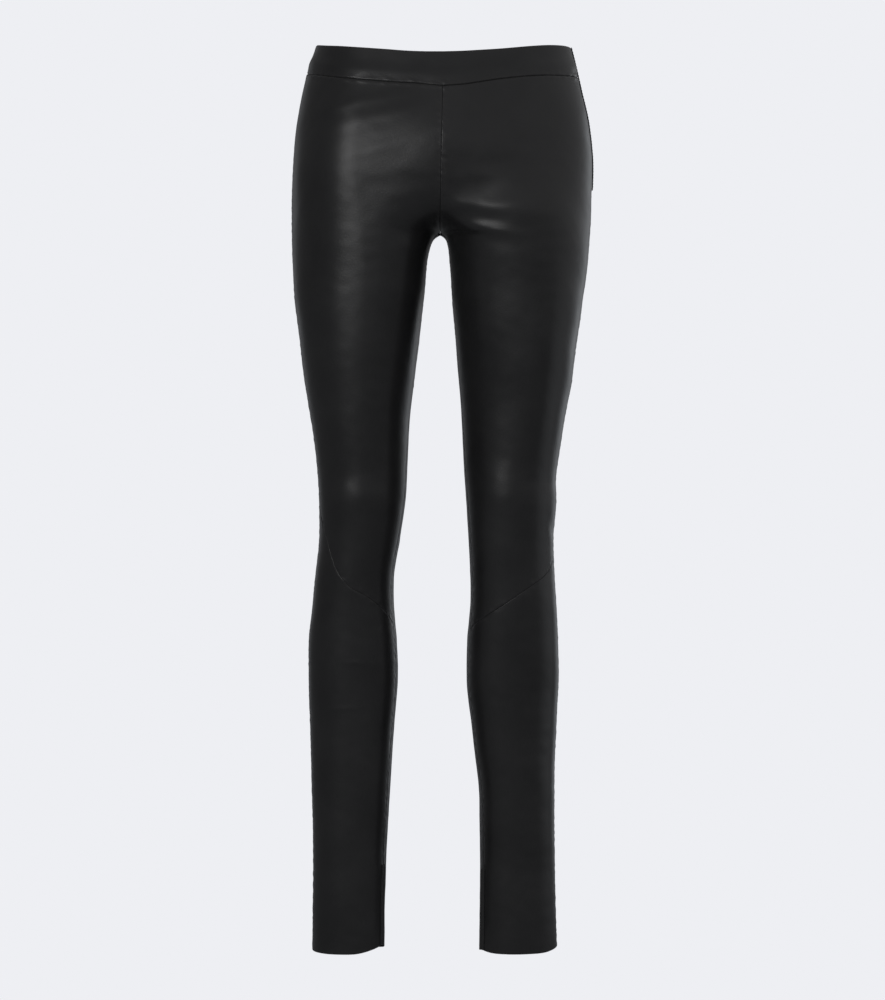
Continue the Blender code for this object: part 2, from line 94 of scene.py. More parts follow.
# Distances from the plane X = 0 of each leg's outer edge and of its foremost and rearmost
# line, and distances from the plane Y = 0 of the front and the back.
SECTIONS = table(
    "drop outer_right outer_left crest_right crest_left front back",
    (0, 137.4, 141.6, 72, 73, 79, 84),
    (30, 147.4, 149.0, 78, 78, 84.5, 91),
    (50, 152.5, 153.6, 82, 81, 88.5, 96),
    (80, 158.2, 160.7, 87, 84, 94.5, 104),
    (103, 161.2, 163.9, 90, 86, 98.2, 110),
    (125, 163.2, 165.6, 93, 88, 100.1, 115),
    (170, 164.9, 165.3, 89, 93, 101.3, 118),
    (207, 164.9, 163.7, 84, 97, 101.5, 111),
    (235, 163.9, 161.3, 81, 97, 101.6, 100),
    (280, 161.3, 155.3, 80.5, 98.5, 101.0, 84),
    (320, 156.2, 149.4, 82.5, 98, 99.0, 71),
    (365, 150.6, 143.2, 85, 94.5, 95.5, 60),
    (410, 143.1, 134.7, 86, 89.5, 91.5, 49),
    (455, 136.8, 127.7, 86.3, 83, 87, 39.6),
    (478, 135.2, 125.0, 86.2, 78, 85.5, 37.6),
    (500, 134.0, 125.2, 86.7, 76.0, 84.5, 36.4),
    (545, 134.3, 122.6, 90.2, 76.1, 78.2, 32.6),
    (585, 138.2, 123.9, 95.1, 77.7, 73.0, 32.2),
    (610, 141.0, 125.7, 96.6, 78.6, 70.6, 34.8),
    (655, 145.0, 127.9, 96.9, 78.1, 66.7, 40.5),
    (695, 145.9, 128.4, 96.9, 78.2, 63.6, 44),
    (740, 144.5, 126.3, 97.8, 79.1, 60.6, 43.5),
    (830, 141.7, 124.1, 99.7, 82.4, 56, 37),
    (895, 141.0, 124.3, 100.8, 83.4, 53, 33),
    (996, 142.0, 126.6, 102.4, 84.0, 49.5, 33),
)

# Distances of the inner edges from the plane X = 0, and how far the inseam lies in front
# of them. They start where the centre seam ends.
INNER_EDGES = table(
    "drop right left inseam",
    (207, 1.6, -1.6, 0),
    (212, 8.8, 5.0, 0),
    (220, 11.8, 7.2, 0),
    (235, 15.2, 8.8, 0),
    (280, 19.5, 11.7, 2),
    (365, 29.3, 18.4, 8),
    (410, 34.3, 22.2, 11),
    (455, 37.0, 24.0, 14),
    (500, 39.4, 26.7, 17),
    (545, 46.2, 29.5, 19),
    (585, 52.0, 31.5, 20),
    (610, 52.2, 31.5, 20),
    (655, 48.8, 28.3, 20),
    (695, 47.8, 28.0, 20),
    (740, 51.0, 31.9, 20),
    (830, 57.6, 41.8, 21),
    (895, 60.5, 42.5, 21),
    (996, 62.8, 41.4, 21),
)

# How far round the inner half of each leg's section the centre seam lies, as a share of its
# width if it were as square as CROTCH_POWER.
CROTCH_CURVE = table(
    "drop front back",
    (0, 0.02, 0.05),
    (50, 0.03, 0.28),
    (90, 0.06, 0.46),
    (127, 0.14, 0.65),
    (157, 0.26, 0.77),
    (177, 0.46, 0.845),
    (192, 0.70, 0.91),
    (200, 0.86, 0.945),
    (207, 1.00, 1.00),
)
CROTCH_POWER = 3.0

# How square each leg's inner half is, where 2 is a plain ellipse.
SQUARENESS = table(
    "drop right left",
    (0, 2.3, 2.3),
    (120, 2.4, 2.4),
    (170, 2.7, 2.6),
    (207, 3.0, 3.0),
    (232, 3.1, 2.6),
    (260, 2.9, 2.4),
    (310, 2.4, 2.2),
    (365, 2.1, 2.0),
    (420, 2.0, 1.95),
    (500, 2.0, 1.95),
    (560, 2.2, 2.2),
    (620, 2.3, 2.3),
    (996, 2.3, 2.3),
)

# How much fuller the middle of the body is than the legs' own sections.
FULLNESS = table(
    "drop front back",
    (0, 7.0, 8.0),
    (30, 8.0, 6.8),
    (60, 10.3, 4.0),
    (90, 13.2, 1.2),
    (112, 13.6, 0.2),
    (135, 12.2, 0.0),
    (157, 10.2, 0.0),
    (180, 8.2, 0.0),
    (207, 5.0, 0.0),
    (235, 2.0, 0.0),
    (260, 0.5, 0.0),
    (290, 0.0, 0.0),
    (330, 0.0, 0.0),
    (996, 0.0, 0.0),
)

# Drop of the band's top edge at the front, by the share of the way from centre to side.
BAND_TOP = table(
    "share right left",
    (0.00, 16.7, 16.7),
    (0.10, 16.5, 16.1),
    (0.20, 15.6, 14.7),
    (0.30, 13.8, 13.2),
    (0.40, 12.0, 11.4),
    (0.50, 10.0, 9.2),
    (0.60, 7.8, 7.0),
    (0.70, 5.5, 5.3),
    (0.80, 3.1, 4.1),
    (0.90, 1.0, 3.2),
    (1.00, 0.0, 2.2),
)
# Drop of the seam under the band, by the share of the way from centre front to side seam.
BAND_SEAM = table(
    "share right left",
    (0.00, 55.0, 55.0),
    (0.10, 52.5, 53.5),
    (0.30, 49.5, 47.0),
    (0.50, 45.0, 42.5),
    (0.75, 37.0, 38.5),
    (1.00, 30.5, 34.5),
)
# Drop of the seam under the knee, by the share of the way from inseam to side seam.
KNEE_SEAM = table(
    "share right left",
    (0.00, 635, 640),
    (0.15, 618, 629),
    (0.30, 604, 616),
    (0.45, 592, 602),
    (0.60, 571, 590),
    (0.75, 538, 579),
    (0.90, 512, 564),
    (1.00, 497, 551),
)
# Drop of the hem, by the share of the way from inseam to side seam, front and back alike.
HEM_LINE = table(
    "share right left",
    (0.00, 985.2, 990.8),
    (0.15, 989.5, 993.0),
    (0.30, 993.0, 993.4),
    (0.50, 993.8, 993.2),
    (0.70, 993.6, 992.6),
    (0.85, 993.0, 990.4),
    (1.00, 991.6, 988.2),
)

# Share of each panel's width at which the leg's foremost or rearmost line runs down it.
CRESTS = table(
    "drop front back",
    (0, 0.36, 0.64),
    (120, 0.44, 0.56),
    (207, 0.49, 0.51),
    (320, 0.48, 0.49),
    (545, 0.42, 0.44),
    (996, 0.41, 0.43),
)

# Place of the centre front seam.
CENTRE_SEAM = table("drop x", (45, 1.4), (207, -1.6))

# --- folds and wrinkles -----------------------------------------------------------------

# A ridge (or a trough, where its rise is negative) across a panel. Share and drop are its
# middle's. Reach is half its length as a share of the panel's width, and half height is how
# far it spreads up and down. Slope is drop gained per unit of share, and bow is how far the
# ends hang below the middle.
FOLD_COLUMNS = "side share drop reach half_height rise slope bow"
FRONT_FOLDS = table(
    FOLD_COLUMNS,
    # the fullness down the left thigh
    (LEFT, 0.46, 184, 0.20, 29.0, 7.4, 0, 0.0),
    (LEFT, 0.26, 187, 0.16, 15.0, 2.2, 0, 0.0),
    (LEFT, 0.46, 229, 0.20, 38.0, 6.4, 0, 0.0),
    (LEFT, 0.46, 290, 0.19, 84.0, 5.6, 0, 0.0),
    (LEFT, 0.22, 288, 0.14, 60.0, 1.6, 0, 0.0),
    # the bands beside the crotch
    (LEFT, 0.11, 183.3, 0.09, 7.5, 1.5, -8, 0.0),
    (LEFT, 0.29, 184.0, 0.12, 7.5, 0.8, -8, 0.0),
    (LEFT, 0.24, 204.0, 0.13, 6.5, 4.2, 50, 0.0),
    (LEFT, 0.26, 152, 0.20, 9.0, 0.7, 6, 0.0),
    (RIGHT, 0.16, 205, 0.12, 9.0, -0.9, 30, 0.0),
    (RIGHT, 0.20, 222, 0.12, 8.0, 0.6, 45, 0.0),
    # whiskers over the hips
    (RIGHT, 0.38, 70, 0.22, 6.0, 0.7, 34, 0.0),
    (RIGHT, 0.40, 90, 0.24, 8.0, 0.65, 44, 0.0),
    (RIGHT, 0.54, 79, 0.15, 11.0, 1.0, 10, 0.0),
    (RIGHT, 0.30, 122, 0.18, 8.0, 0.4, 48, 0.0),
    (RIGHT, 0.28, 148, 0.16, 9.0, 0.25, 30, 0.0),
    (RIGHT, 0.22, 172, 0.14, 9.0, 0.3, 10, 0.0),
    (LEFT, 0.38, 96, 0.22, 11.0, 0.35, 30, 0.0),
    (LEFT, 0.34, 126, 0.20, 10.0, 0.35, 24, 0.0),
    # the fullness down the right thigh
    (RIGHT, 0.73, 168, 0.11, 60.0, 1.6, 0, 0.0),
    (RIGHT, 0.52, 246, 0.20, 55.0, 1.5, 0, 0.0),
    # over the knees
    (RIGHT, 0.51, 498, 0.26, 16.0, 1.0, 0, 0.0),
    (RIGHT, 0.51, 469, 0.26, 12.0, -0.4, 0, 0.0),
    (LEFT, 0.41, 498, 0.24, 18.0, 0.4, 0, 0.0),
    (LEFT, 0.41, 463, 0.24, 14.0, -0.25, 0, 0.0),
    # a dent outside the left knee
    (LEFT, 0.86, 530, 0.09, 9.0, -0.7, 50, 0.0),
)
SHIN_FOLDS = table(
    FOLD_COLUMNS,
    (RIGHT, 0.40, 676, 0.10, 2.2, 0.45, 4, 0.4),
    (RIGHT, 0.48, 726, 0.13, 2.0, 0.35, 6, -0.6),
    (LEFT, 0.44, 668, 0.14, 9.0, 0.35, 6, 0.0),
)
BACK_FOLDS = table(
    FOLD_COLUMNS,
    # under the seat
    (RIGHT, 0.72, 214, 0.17, 6.0, 1.1, -30, 1.0),
    (RIGHT, 0.70, 231, 0.15, 6.0, -0.9, -42, 1.0),
    (RIGHT, 0.76, 247, 0.12, 6.5, 0.9, -50, 1.0),
    (LEFT, 0.70, 220, 0.18, 6.5, 1.2, -26, 1.0),
    (LEFT, 0.74, 238, 0.14, 6.0, -1.0, -40, 1.0),
    (LEFT, 0.72, 256, 0.11, 7.0, 0.7, -46, 1.0),
    # behind the knees
    (RIGHT, 0.50, 528, 0.24, 6.0, 0.8, 18, -2.0),
    (RIGHT, 0.56, 548, 0.26, 6.5, 1.2, -14, 2.0),
    (RIGHT, 0.46, 566, 0.22, 5.5, -0.9, 10, 2.0),
    (RIGHT, 0.52, 585, 0.25, 6.5, 1.1, 16, 2.0),
    (RIGHT, 0.42, 607, 0.18, 7.0, 0.6, -12, 0.0),
    (LEFT, 0.52, 535, 0.25, 6.5, 1.0, -16, -2.0),
    (LEFT, 0.44, 553, 0.22, 5.5, -0.9, 12, 1.0),
    (LEFT, 0.55, 571, 0.27, 6.5, 1.2, 14, 2.0),
    (LEFT, 0.48, 594, 0.22, 6.5, 0.9, -18, 2.0),
    (LEFT, 0.58, 616, 0.16, 7.0, 0.5, 10, 0.0),
    # above the hem
    (RIGHT, 0.45, 902, 0.22, 7.0, 0.5, 20, 0.0),
    (RIGHT, 0.55, 934, 0.20, 6.0, 0.45, -14, 0.0),
    (LEFT, 0.55, 894, 0.20, 6.5, 0.5, -18, 0.0),
    (LEFT, 0.45, 926, 0.23, 7.0, 0.45, 16, 0.0),
)

Roll = namedtuple("Roll", "radius depth")
# How an edge of leather turns in at a plain seam, at the seam under the band, at the raw
# hem, round the top of the band and beside a zip.
SEAM_ROLL = Roll(0.9, 0.8)
BAND_ROLL = Roll(1.9, 1.3)
HEM_ROLL = Roll(0.35, 0.2)
TOP_ROLL = Roll(BAND_WALL / 2, BAND_WALL / 2)
LIP_ROLL = Roll(0.9, 0.7)
THINNEST_EDGE = 0.05  # share of the wall that rolled edges leave at least

# Waves that keep the leather from being perfectly smooth: their length across, their
# height, and how much shorter they are up and down.
UNEVENNESS = table(
    "length height squash seed",
    (70.0, 0.20, 1.0, 11),
    (24.0, 0.03, 1.3, 12),
    (9.0, 0.006, 1.2, 13),
)
WAVES = 14
WAVE_SPREAD = (0.7, 1.4)  # fewest and most waves that lie in their named length
PUCKER = {"length": 7.0, "height": 0.16, "reach": 5.0, "seed": 21}
WEAR_REACH = {"panel": 3.0, "zip": 1.0}
ZIP_BULGE = {"height": 0.8, "reach": 15.0, "start": 890.0, "ramp": 18.0}
Welt = namedtuple("Welt", "height place half_height")
# Swellings beside the seam under the band, above it and below it.
BAND_SWELL = Welt(1.0, 12.0, 7.0)
TOP_WELT = Welt(0.3, 2.5, 1.5)

# --- density of the meshes ---------------------------------------------------------------

EDGE_STEPS = (0.0, 0.2, 0.5, 0.9, 1.4, 2.1, 3.2, 4.8)
ROW_STEP = 2.2
CROTCH_STEP = {"least": 1.0, "reach": 26.0}
COLUMNS = {"thigh": 84, "shin": 62, "back": 88, "band": 66}
PANEL_WIDTH = 160.0
BAND_HEIGHT = 36.0
CREASE_ANGLE = 50  # degrees, past which an edge is shaded sharp


# --- smooth curves through the tables ------------------------------------------------


def eased(t, low, high, low_slope, high_slope):
    """Cubic between two values, with the slope over the whole step at each of them."""
    return (
        low * (1 + 2 * t) * (1 - t) ** 2
        + high * (3 - 2 * t) * t**2
        + low_slope * t * (1 - t) ** 2
        - high_slope * (1 - t) * t**2
    )


def through(points, at):
    """Value at each place of the smooth curve through (place, value) points."""
    places, values = np.array(points, float).T
    slopes = np.gradient(values, places)
    at = np.clip(at, places[0], places[-1])
    k = np.clip(np.searchsorted(places, at, side="right") - 1, 0, len(places) - 2)
    step = places[k + 1] - places[k]
    t = (at - places[k]) / step
    return eased(t, values[k], values[k + 1], step * slopes[k], step * slopes[k + 1])


def column(rows, key, place):
    """(place, value) points of one column of a table."""
    return [(getattr(row, place), getattr(row, key)) for row in rows]


def section_size(key, drop):
    """One distance of the leg's section at each drop."""
    return through(column(SECTIONS, key, "drop"), drop)


def seam_drop(rows, side, share):
    """Drop of a seam or edge at each share of the way along it."""
    return through(column(rows, WORDS[side], "share"), share)


def faded(distance, reach):
    """1 at no distance, 0 at the reach, smooth between."""
    t = np.clip(distance / reach, 0, 1)
    return 1 - t * t * (3 - 2 * t)


def centre_x(drop):
    """Place of the centre seam at each drop."""
    places, values = zip(*CENTRE_SEAM)
    return np.interp(drop, places, values)


# --- the leg's section ----------------------------------------------------------------


def inner_reach(side, drop, crest, face, square):
    """Half width of the section's inner half, as if the arch had no round."""
    gaps = [
        (row.drop, (getattr(row, WORDS[side]) - side * centre_x(row.drop)) ** 2)
        for row in INNER_EDGES
    ]
    parted = crest - np.sqrt(np.maximum(through(gaps, drop), 0) + ARCH_ROUND**2)
    round_to_seam = through(column(CROTCH_CURVE, face, "drop"), drop)
    depth_left = (1 - np.clip(round_to_seam, 0, 1) ** CROTCH_POWER) ** (1 / CROTCH_POWER)
    share = (1 - depth_left**square) ** (1 / square)
    joined = (crest - ARCH_ROUND) / np.maximum(share, 0.01)
    return np.where(drop < CROTCH, joined, parted)


def half_arcs(side, drop, plane, sizes, face):
    """Arcs of one face of the leg, from the inner edge to the crest and on to the side."""
    outer, crest, middle, depth = sizes
    square = through(column(SQUARENESS, WORDS[side], "drop"), drop)
    reach = inner_reach(side, drop, crest, face, square)
    power = 2 / square
    edge = np.arcsin(np.clip((crest - ARCH_ROUND) / reach, 0, 1) ** (1 / power))
    outer, crest, reach, edge, power, middle, depth = (
        value[:, None] for value in (outer, crest, reach, edge, power, middle, depth)
    )
    inner_turn = edge * (1 - np.linspace(0, 1, ARC_STEPS) ** ARC_CROWDING)
    outer_turn = np.linspace(0, 1, ARC_STEPS)[1:] * np.pi / 2 * np.ones_like(edge)
    inner = crest - reach * np.sin(inner_turn) ** power
    outside = crest + (outer - crest) * np.sin(outer_turn)
    across = np.concatenate([inner, outside], 1)
    across = np.sqrt(np.maximum(across**2 - ARCH_ROUND**2, 0))
    turned = np.concatenate([np.cos(inner_turn) ** power, np.cos(outer_turn)], 1)
    along = middle + depth * turned
    fullness = through(column(FULLNESS, face, "drop"), drop)[:, None]
    along += np.sign(depth) * fullness * np.cos(np.pi / 2 * across / outer) ** 2
    return np.stack([plane[:, None] + across, along], 2)


def section_loop(side, drop, gap):
    """Loops round one leg at the given drops, from the inner edge over the front, side and
    back to the inner edge, and on over the first arc again."""
    word = WORDS[side]
    plane = side * centre_x(drop) + gap / 2
    outer, crest = (
        np.hypot(section_size(size + word, drop) - plane, ARCH_ROUND)
        for size in ("outer_", "crest_")
    )
    front, back = -section_size("front", drop), section_size("back", drop)
    middle = (front + back) / 2
    ahead = half_arcs(side, drop, plane, (outer, crest, middle, front - middle), "front")
    behind = half_arcs(side, drop, plane, (outer, crest, middle, back - middle), "back")
    return np.concatenate([ahead, behind[:, -2::-1], ahead[:, 1:ARC_STEPS]], 1)


def loops_and_lengths(side, drop, gap):
    """Loops round one leg, and the length along each of them at each of its points."""
    loops = section_loop(side, drop, gap)
    steps = np.linalg.norm(np.diff(loops, axis=1), axis=2)
    return loops, np.concatenate([np.zeros((len(drop), 1)), np.cumsum(steps, 1)], 1)


def panel_marks(face, drop, lengths, gap):
    """Lengths along the loop at which a panel starts, passes its crest and ends."""
    inseam = through(column(INNER_EDGES, "inseam", "drop"), drop)
    inner_gap = gap / 2 * faded(CROTCH - drop, SEAM_EASE)
    ends = [lengths[:, k * (ARC_STEPS - 1)] for k in (1, 2, 3, 4)]
    if face == "front":
        return inseam + inner_gap, ends[0], ends[1] - gap / 2
    return ends[1] + gap / 2, ends[2], ends[3] + inseam - inner_gap


def even_inner_length(side, face, drop, inner, gap):
    """Length of a panel's inner half, but changing evenly past the crotch."""
    beside = np.array([CROTCH - CROTCH_EASE, CROTCH + CROTCH_EASE])
    lengths = loops_and_lengths(side, beside, gap)[1]
    start, crest, end = panel_marks(face, beside, lengths, gap)
    above, below = crest - start if face == "front" else end - crest
    even = above + (below - above) * (1 - faded(drop - beside[0], 2 * CROTCH_EASE))
    return np.where(np.abs(drop - CROTCH) < CROTCH_EASE, even, inner)


def target_lengths(side, face, share, drop, lengths, gap):
    """Length along the loop at each share of a panel's width. The crest keeps its share,
    and where the seam turns under the crotch only the columns beside it follow."""
    crest_share = through(column(CRESTS, face, "drop"), drop)
    start, crest, end = panel_marks(face, drop, lengths, gap)
    before, after = share / crest_share, (share - crest_share) / (1 - crest_share)
    off, inner = (1 - before, crest - start) if face == "front" else (after, end - crest)
    off = np.clip(off, 0, 1)
    even = even_inner_length(side, face, drop, inner, gap)
    from_crest = even * off + (inner - even) * off**CROTCH_FOLLOW
    if face == "front":
        return np.where(share < crest_share, crest - from_crest, crest + (end - crest) * after)
    return np.where(share < crest_share, start + (crest - start) * before, crest + from_crest)


def at_lengths(loops, lengths, targets):
    """Point of each loop at its target length, on a smooth curve through the loop."""
    last = lengths.shape[1] - 1
    k = np.clip((lengths <= targets[:, None]).sum(1) - 1, 0, last - 1)
    row = np.arange(len(k))
    places = [np.clip(k + step, 0, last) for step in (-1, 0, 1, 2)]
    before, low, high, after = (loops[row, place] for place in places)
    at_before, at_low, at_high, at_after = (lengths[row, place] for place in places)
    span = np.maximum(at_high - at_low, 1e-9)
    t = np.clip((targets - at_low) / span, -1, 2)[:, None]
    span_low = np.maximum(at_high - at_before, 1e-9)
    span_high = np.maximum(at_after - at_low, 1e-9)
    slope_low = (high - before) * (span / span_low)[:, None]
    slope_high = (after - low) * (span / span_high)[:, None]
    return eased(t, low, high, slope_low, slope_high)


def leg_points(side, face, share, drop, gap=-SEAM_LAP, aside=0.0):
    """Points of a leg's smooth form. On the front, share runs from the inseam or centre
    seam to the side seam, and on the back it runs on from there to the inseam. Aside moves
    a point that far along the loop."""
    share, drop, aside = (
        np.broadcast_to(a, np.broadcast(share, drop, aside).shape) for a in (share, drop, aside)
    )
    shape = share.shape
    share, drop, aside = share.ravel(), drop.ravel(), aside.ravel()
    loops, lengths = loops_and_lengths(side, drop, gap)
    targets = target_lengths(side, face, share, drop, lengths, gap) + aside
    flat = at_lengths(loops, lengths, targets)
    points = np.stack([side * flat[:, 0], flat[:, 1], -drop], 1)
    return points.reshape(*shape, 3)


# --- relief ---------------------------------------------------------------------------


def grid_normals(side, points):
    """Unit normals of a grid that runs down and along a leg's loop, pointing out."""
    down, along = np.gradient(points, axis=0), np.gradient(points, axis=1)
    normals = side * np.cross(down, along)
    return normals / np.maximum(np.linalg.norm(normals, axis=-1, keepdims=True), 1e-9)


def distances(points):
    """Distances over a grid's surface from its first and last column and row."""
    across = np.linalg.norm(np.diff(points, axis=1), axis=2)
    down = np.linalg.norm(np.diff(points, axis=0), axis=2)
    from_first = np.pad(np.cumsum(across, 1), ((0, 0), (1, 0)))
    from_top = np.pad(np.cumsum(down, 0), ((1, 0), (0, 0)))
    return from_first, from_first[:, -1:] - from_first, from_top, from_top[-1:] - from_top


def waves(points, length, squash, seed):
    """Even sum of waves through space in all directions, about 1 high."""
    random = np.random.default_rng(seed)
    total = np.zeros(points.shape[:-1])
    for _ in range(WAVES):
        heading = random.normal(size=3)
        heading *= random.uniform(*WAVE_SPREAD) / np.linalg.norm(heading)
        heading[2] *= squash
        phase = random.uniform(0, 2 * np.pi)
        total += np.sin(points @ heading * 2 * np.pi / length + phase)
    return total / np.sqrt(WAVES / 2)


def fold_rise(folds, side, share, drop):
    """How far folds lift a panel off its smooth form."""
    rise = np.zeros(np.broadcast(share, drop).shape)
    for fold in folds:
        if fold.side != side:
            continue
        off = (share - fold.share) / fold.reach
        line = fold.drop + fold.slope * (share - fold.share) + fold.bow * off**2
        rise = rise + fold.rise * np.exp(-(off**2) - ((drop - line) / fold.half_height) ** 2)
    return rise


def rolled_in(distance, roll):
    """Depth to which an edge turns in, a quarter round that ends on the smooth form."""
    t = np.clip(1 - distance / roll.radius, 0, 1)
    return roll.depth * (1 - np.sqrt(np.maximum(1 - t * t, 0)))


def common_rise(points):
    """Unevenness that all the leather shares."""
    return sum(
        wave.height * waves(points, wave.length, wave.squash, wave.seed) for wave in UNEVENNESS
    )


def seam_pucker(points, distance):
    """Small gathers along a stitched seam, which die out away from it."""
    gathers = waves(points, PUCKER["length"], 1.0, PUCKER["seed"])
    return PUCKER["height"] * gathers * np.exp(-((distance / PUCKER["reach"]) ** 2))


def welt_rise(welt, distance):
    """Swelling that runs along a seam."""
    return welt.height * np.exp(-(((distance - welt.place) / welt.half_height) ** 2))


def zip_bulge(from_inseam, drop):
    """Lift of the leather over the tapes of an ankle zip."""
    start = 1 - faded(drop - ZIP_BULGE["start"], ZIP_BULGE["ramp"])
    return ZIP_BULGE["height"] * start * np.exp(-((from_inseam / ZIP_BULGE["reach"]) ** 2))


# --- meshes ---------------------------------------------------------------------------


def shares_across(columns):
    """Shares of a panel's width, crowded beside its seams so that the edges can roll in."""
    edge = np.array(EDGE_STEPS) / PANEL_WIDTH
    inner = np.linspace(edge[-1], 1 - edge[-1], columns)[1:-1]
    return np.concatenate([edge, inner, 1 - edge[::-1]])


def levels_down(top, bottom):
    """Drops from one seam to the next, crowded beside the seams and at the crotch."""
    levels = [top + EDGE_STEPS[-1]]
    while levels[-1] < bottom - EDGE_STEPS[-1]:
        near = np.exp(-(((levels[-1] - CROTCH) / CROTCH_STEP["reach"]) ** 2))
        levels.append(levels[-1] + ROW_STEP + (CROTCH_STEP["least"] - ROW_STEP) * near)
    span = bottom - top - 2 * EDGE_STEPS[-1]
    inner = levels[0] + (np.array(levels) - levels[0]) * span / (levels[-1] - levels[0])
    edge = np.array(EDGE_STEPS)
    return np.concatenate([top + edge[:-1], inner, bottom - edge[-2::-1]])


def rows_between(levels, top, bottom, top_reach, bottom_reach):
    """Grid of drops, bent near its ends to follow the seams there."""
    levels = levels[:, None]
    high, low = levels[0], levels[-1]
    return (
        levels
        + (top - SEAM_LAP / 2 - high) * faded(levels - high, top_reach)
        + (bottom + SEAM_LAP / 2 - low) * faded(low - levels, bottom_reach)
    )


def add_object(name, data):
    """A new object, in the scene."""
    obj = bpy.data.objects.new(name, data)
    bpy.context.scene.collection.objects.link(obj)
    return obj


def closed_shell(name, outer, inner, edges, material):
    """Closed mesh between an outer and an inner grid. The attribute "inside" is 1 on the
    inner face, and "edge" is 1 at a seam or a cut edge and fades away from it."""
    rows, columns = outer.shape[:2]
    count = rows * columns
    index = np.arange(count).reshape(rows, columns)
    faces = np.stack(
        [index[:-1, :-1], index[1:, :-1], index[1:, 1:], index[:-1, 1:]], -1
    ).reshape(-1, 4)
    ring = np.concatenate([index[0], index[1:, -1], index[-1, -2::-1], index[-2:0:-1, 0]])
    ahead = np.roll(ring, -1)
    rim = np.stack([ring, ahead, ahead + count, ring + count], -1)
    every_face = np.concatenate([faces, faces[:, ::-1] + count, rim])
    points = np.concatenate([outer.reshape(-1, 3), inner.reshape(-1, 3)]) * MM

    mesh = bpy.data.meshes.new(name)
    mesh.from_pydata(points.tolist(), [], every_face.tolist())
    mesh.materials.append(material)
    for label, values in (
        ("inside", np.repeat([0.0, 1.0], count)),
        ("edge", np.tile(edges.ravel(), 2)),
    ):
        attribute = mesh.attributes.new(label, "FLOAT", "POINT")
        attribute.data.foreach_set("value", values.astype(np.float32))
    add_uv_map(mesh, outer, count)
    mesh.shade_smooth()
    mesh.set_sharp_from_angle(angle=radians(CREASE_ANGLE))
    return add_object(name, mesh)


def add_uv_map(mesh, outer, count):
    """UV map in metres over the surface: across the panel, and down it."""
    from_first, _, from_top, _ = distances(outer)
    flat = np.stack([from_first.ravel(), -from_top.ravel()], 1) * MM
    corners = np.zeros(len(mesh.loops), np.int32)
    mesh.loops.foreach_get("vertex_index", corners)
    layer = mesh.uv_layers.new(name="surface")
    layer.data.foreach_set("uv", flat[corners % count].astype(np.float32).ravel())


def facing_out(side, *grids):
    """Grids in the column order that makes their faces point out."""
    return grids if side == LEFT else [grid[:, ::-1] for grid in grids]


def wear(distance, reach):
    """How much the leather is rubbed, at a distance from its edge."""
    return np.exp(-distance / reach)


def put_in_frame(obj, node):
    """Has a piece stand for the solid of the same node."""
    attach(obj, "root")
    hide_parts(node)


def panel(kind, side, shares, drops, folds, top_roll, bottom_roll):
    """One panel of leather: its smooth form, folds, uneven surface and rolled edges."""
    name = kind + "_" + WORDS[side]
    face = kind.partition("_")[0]
    form = leg_points(side, face, shares, drops)
    normals = grid_normals(side, form)
    first, last, top, bottom = distances(form)
    to_seam = np.minimum(np.minimum(first, last), top)
    if bottom_roll is not HEM_ROLL:
        to_seam = np.minimum(to_seam, bottom)
    from_inseam = first if face == "front" else last
    rise = common_rise(form) + fold_rise(folds, side, shares, drops)
    rise = rise + zip_bulge(from_inseam, drops) + seam_pucker(form, to_seam)
    if top_roll is BAND_ROLL:
        rise = rise + welt_rise(TOP_WELT, top)
    roll = (
        rolled_in(first, SEAM_ROLL)
        + rolled_in(last, SEAM_ROLL)
        + rolled_in(top, top_roll)
        + rolled_in(bottom, bottom_roll)
    )
    roll = np.minimum(roll, (1 - THINNEST_EDGE) * WALL)
    outer = form + normals * (rise - roll)[..., None]
    inner = form + normals * (rise - WALL)[..., None]
    edges = wear(np.minimum(to_seam, bottom), WEAR_REACH["panel"])
    outer, inner, edges = facing_out(side, outer, inner, edges)
    obj = closed_shell(name + "_nappa", outer, inner, edges, shared_material("nappa"))
    put_in_frame(obj, name)
    return obj


# --- materials ------------------------------------------------------------------------

PORE_SCALE = 0.45  # pores for each pebble of the grain
ROUGHNESS_SPREAD = 0.035
KNIT_ROUGHNESS = 0.95
THREAD_SHADE = 0.5  # darkest tone between a thread's fibres, against its colour
PAPER_TONES = ((0.36, 0.37, 0.38), (0.39, 0.40, 0.41))


class Nodes:
    """Short way to add and link a tree's nodes."""

    def __init__(self, tree):
        self.tree = tree

    def add(self, kind, inputs=None, **settings):
        node = self.tree.nodes.new(kind)
        for key, value in settings.items():
            setattr(node, key, value)
        self.set(node, inputs or {})
        return node

    def set(self, node, inputs):
        """Links each input to the socket given for it, or sets it to the plain value."""
        for key, value in inputs.items():
            if isinstance(value, bpy.types.NodeSocket):
                self.tree.links.new(value, node.inputs[key])
            else:
                node.inputs[key].default_value = value

    def noise(self, place, scale, **inputs):
        """Noise over a place, 0 to 1."""
        node = self.add("ShaderNodeTexNoise", {"Vector": place, "Scale": scale, **inputs})
        return node.outputs["Fac"]

    def maths(self, operation, first, second):
        """Sum, difference or product of two values."""
        node = self.add("ShaderNodeMath", {0: first, 1: second}, operation=operation)
        return node.outputs["Value"]

    def blend(self, share, low, high):
        """Colour between two, each of them a socket or three values."""
        low, high = (
            colour if isinstance(colour, bpy.types.NodeSocket) else (*colour, 1)
            for colour in (low, high)
        )
        inputs = {"Factor": share, "A": low, "B": high}
        return self.add("ShaderNodeMix", inputs, data_type="RGBA").outputs["Result"]


def plain_material(name):
    """A material with its node helper and its shader."""
    material = bpy.data.materials.new(name)
    material.use_nodes = True
    nodes = Nodes(material.node_tree)
    shader = material.node_tree.nodes["Principled BSDF"]
    return material, nodes, shader


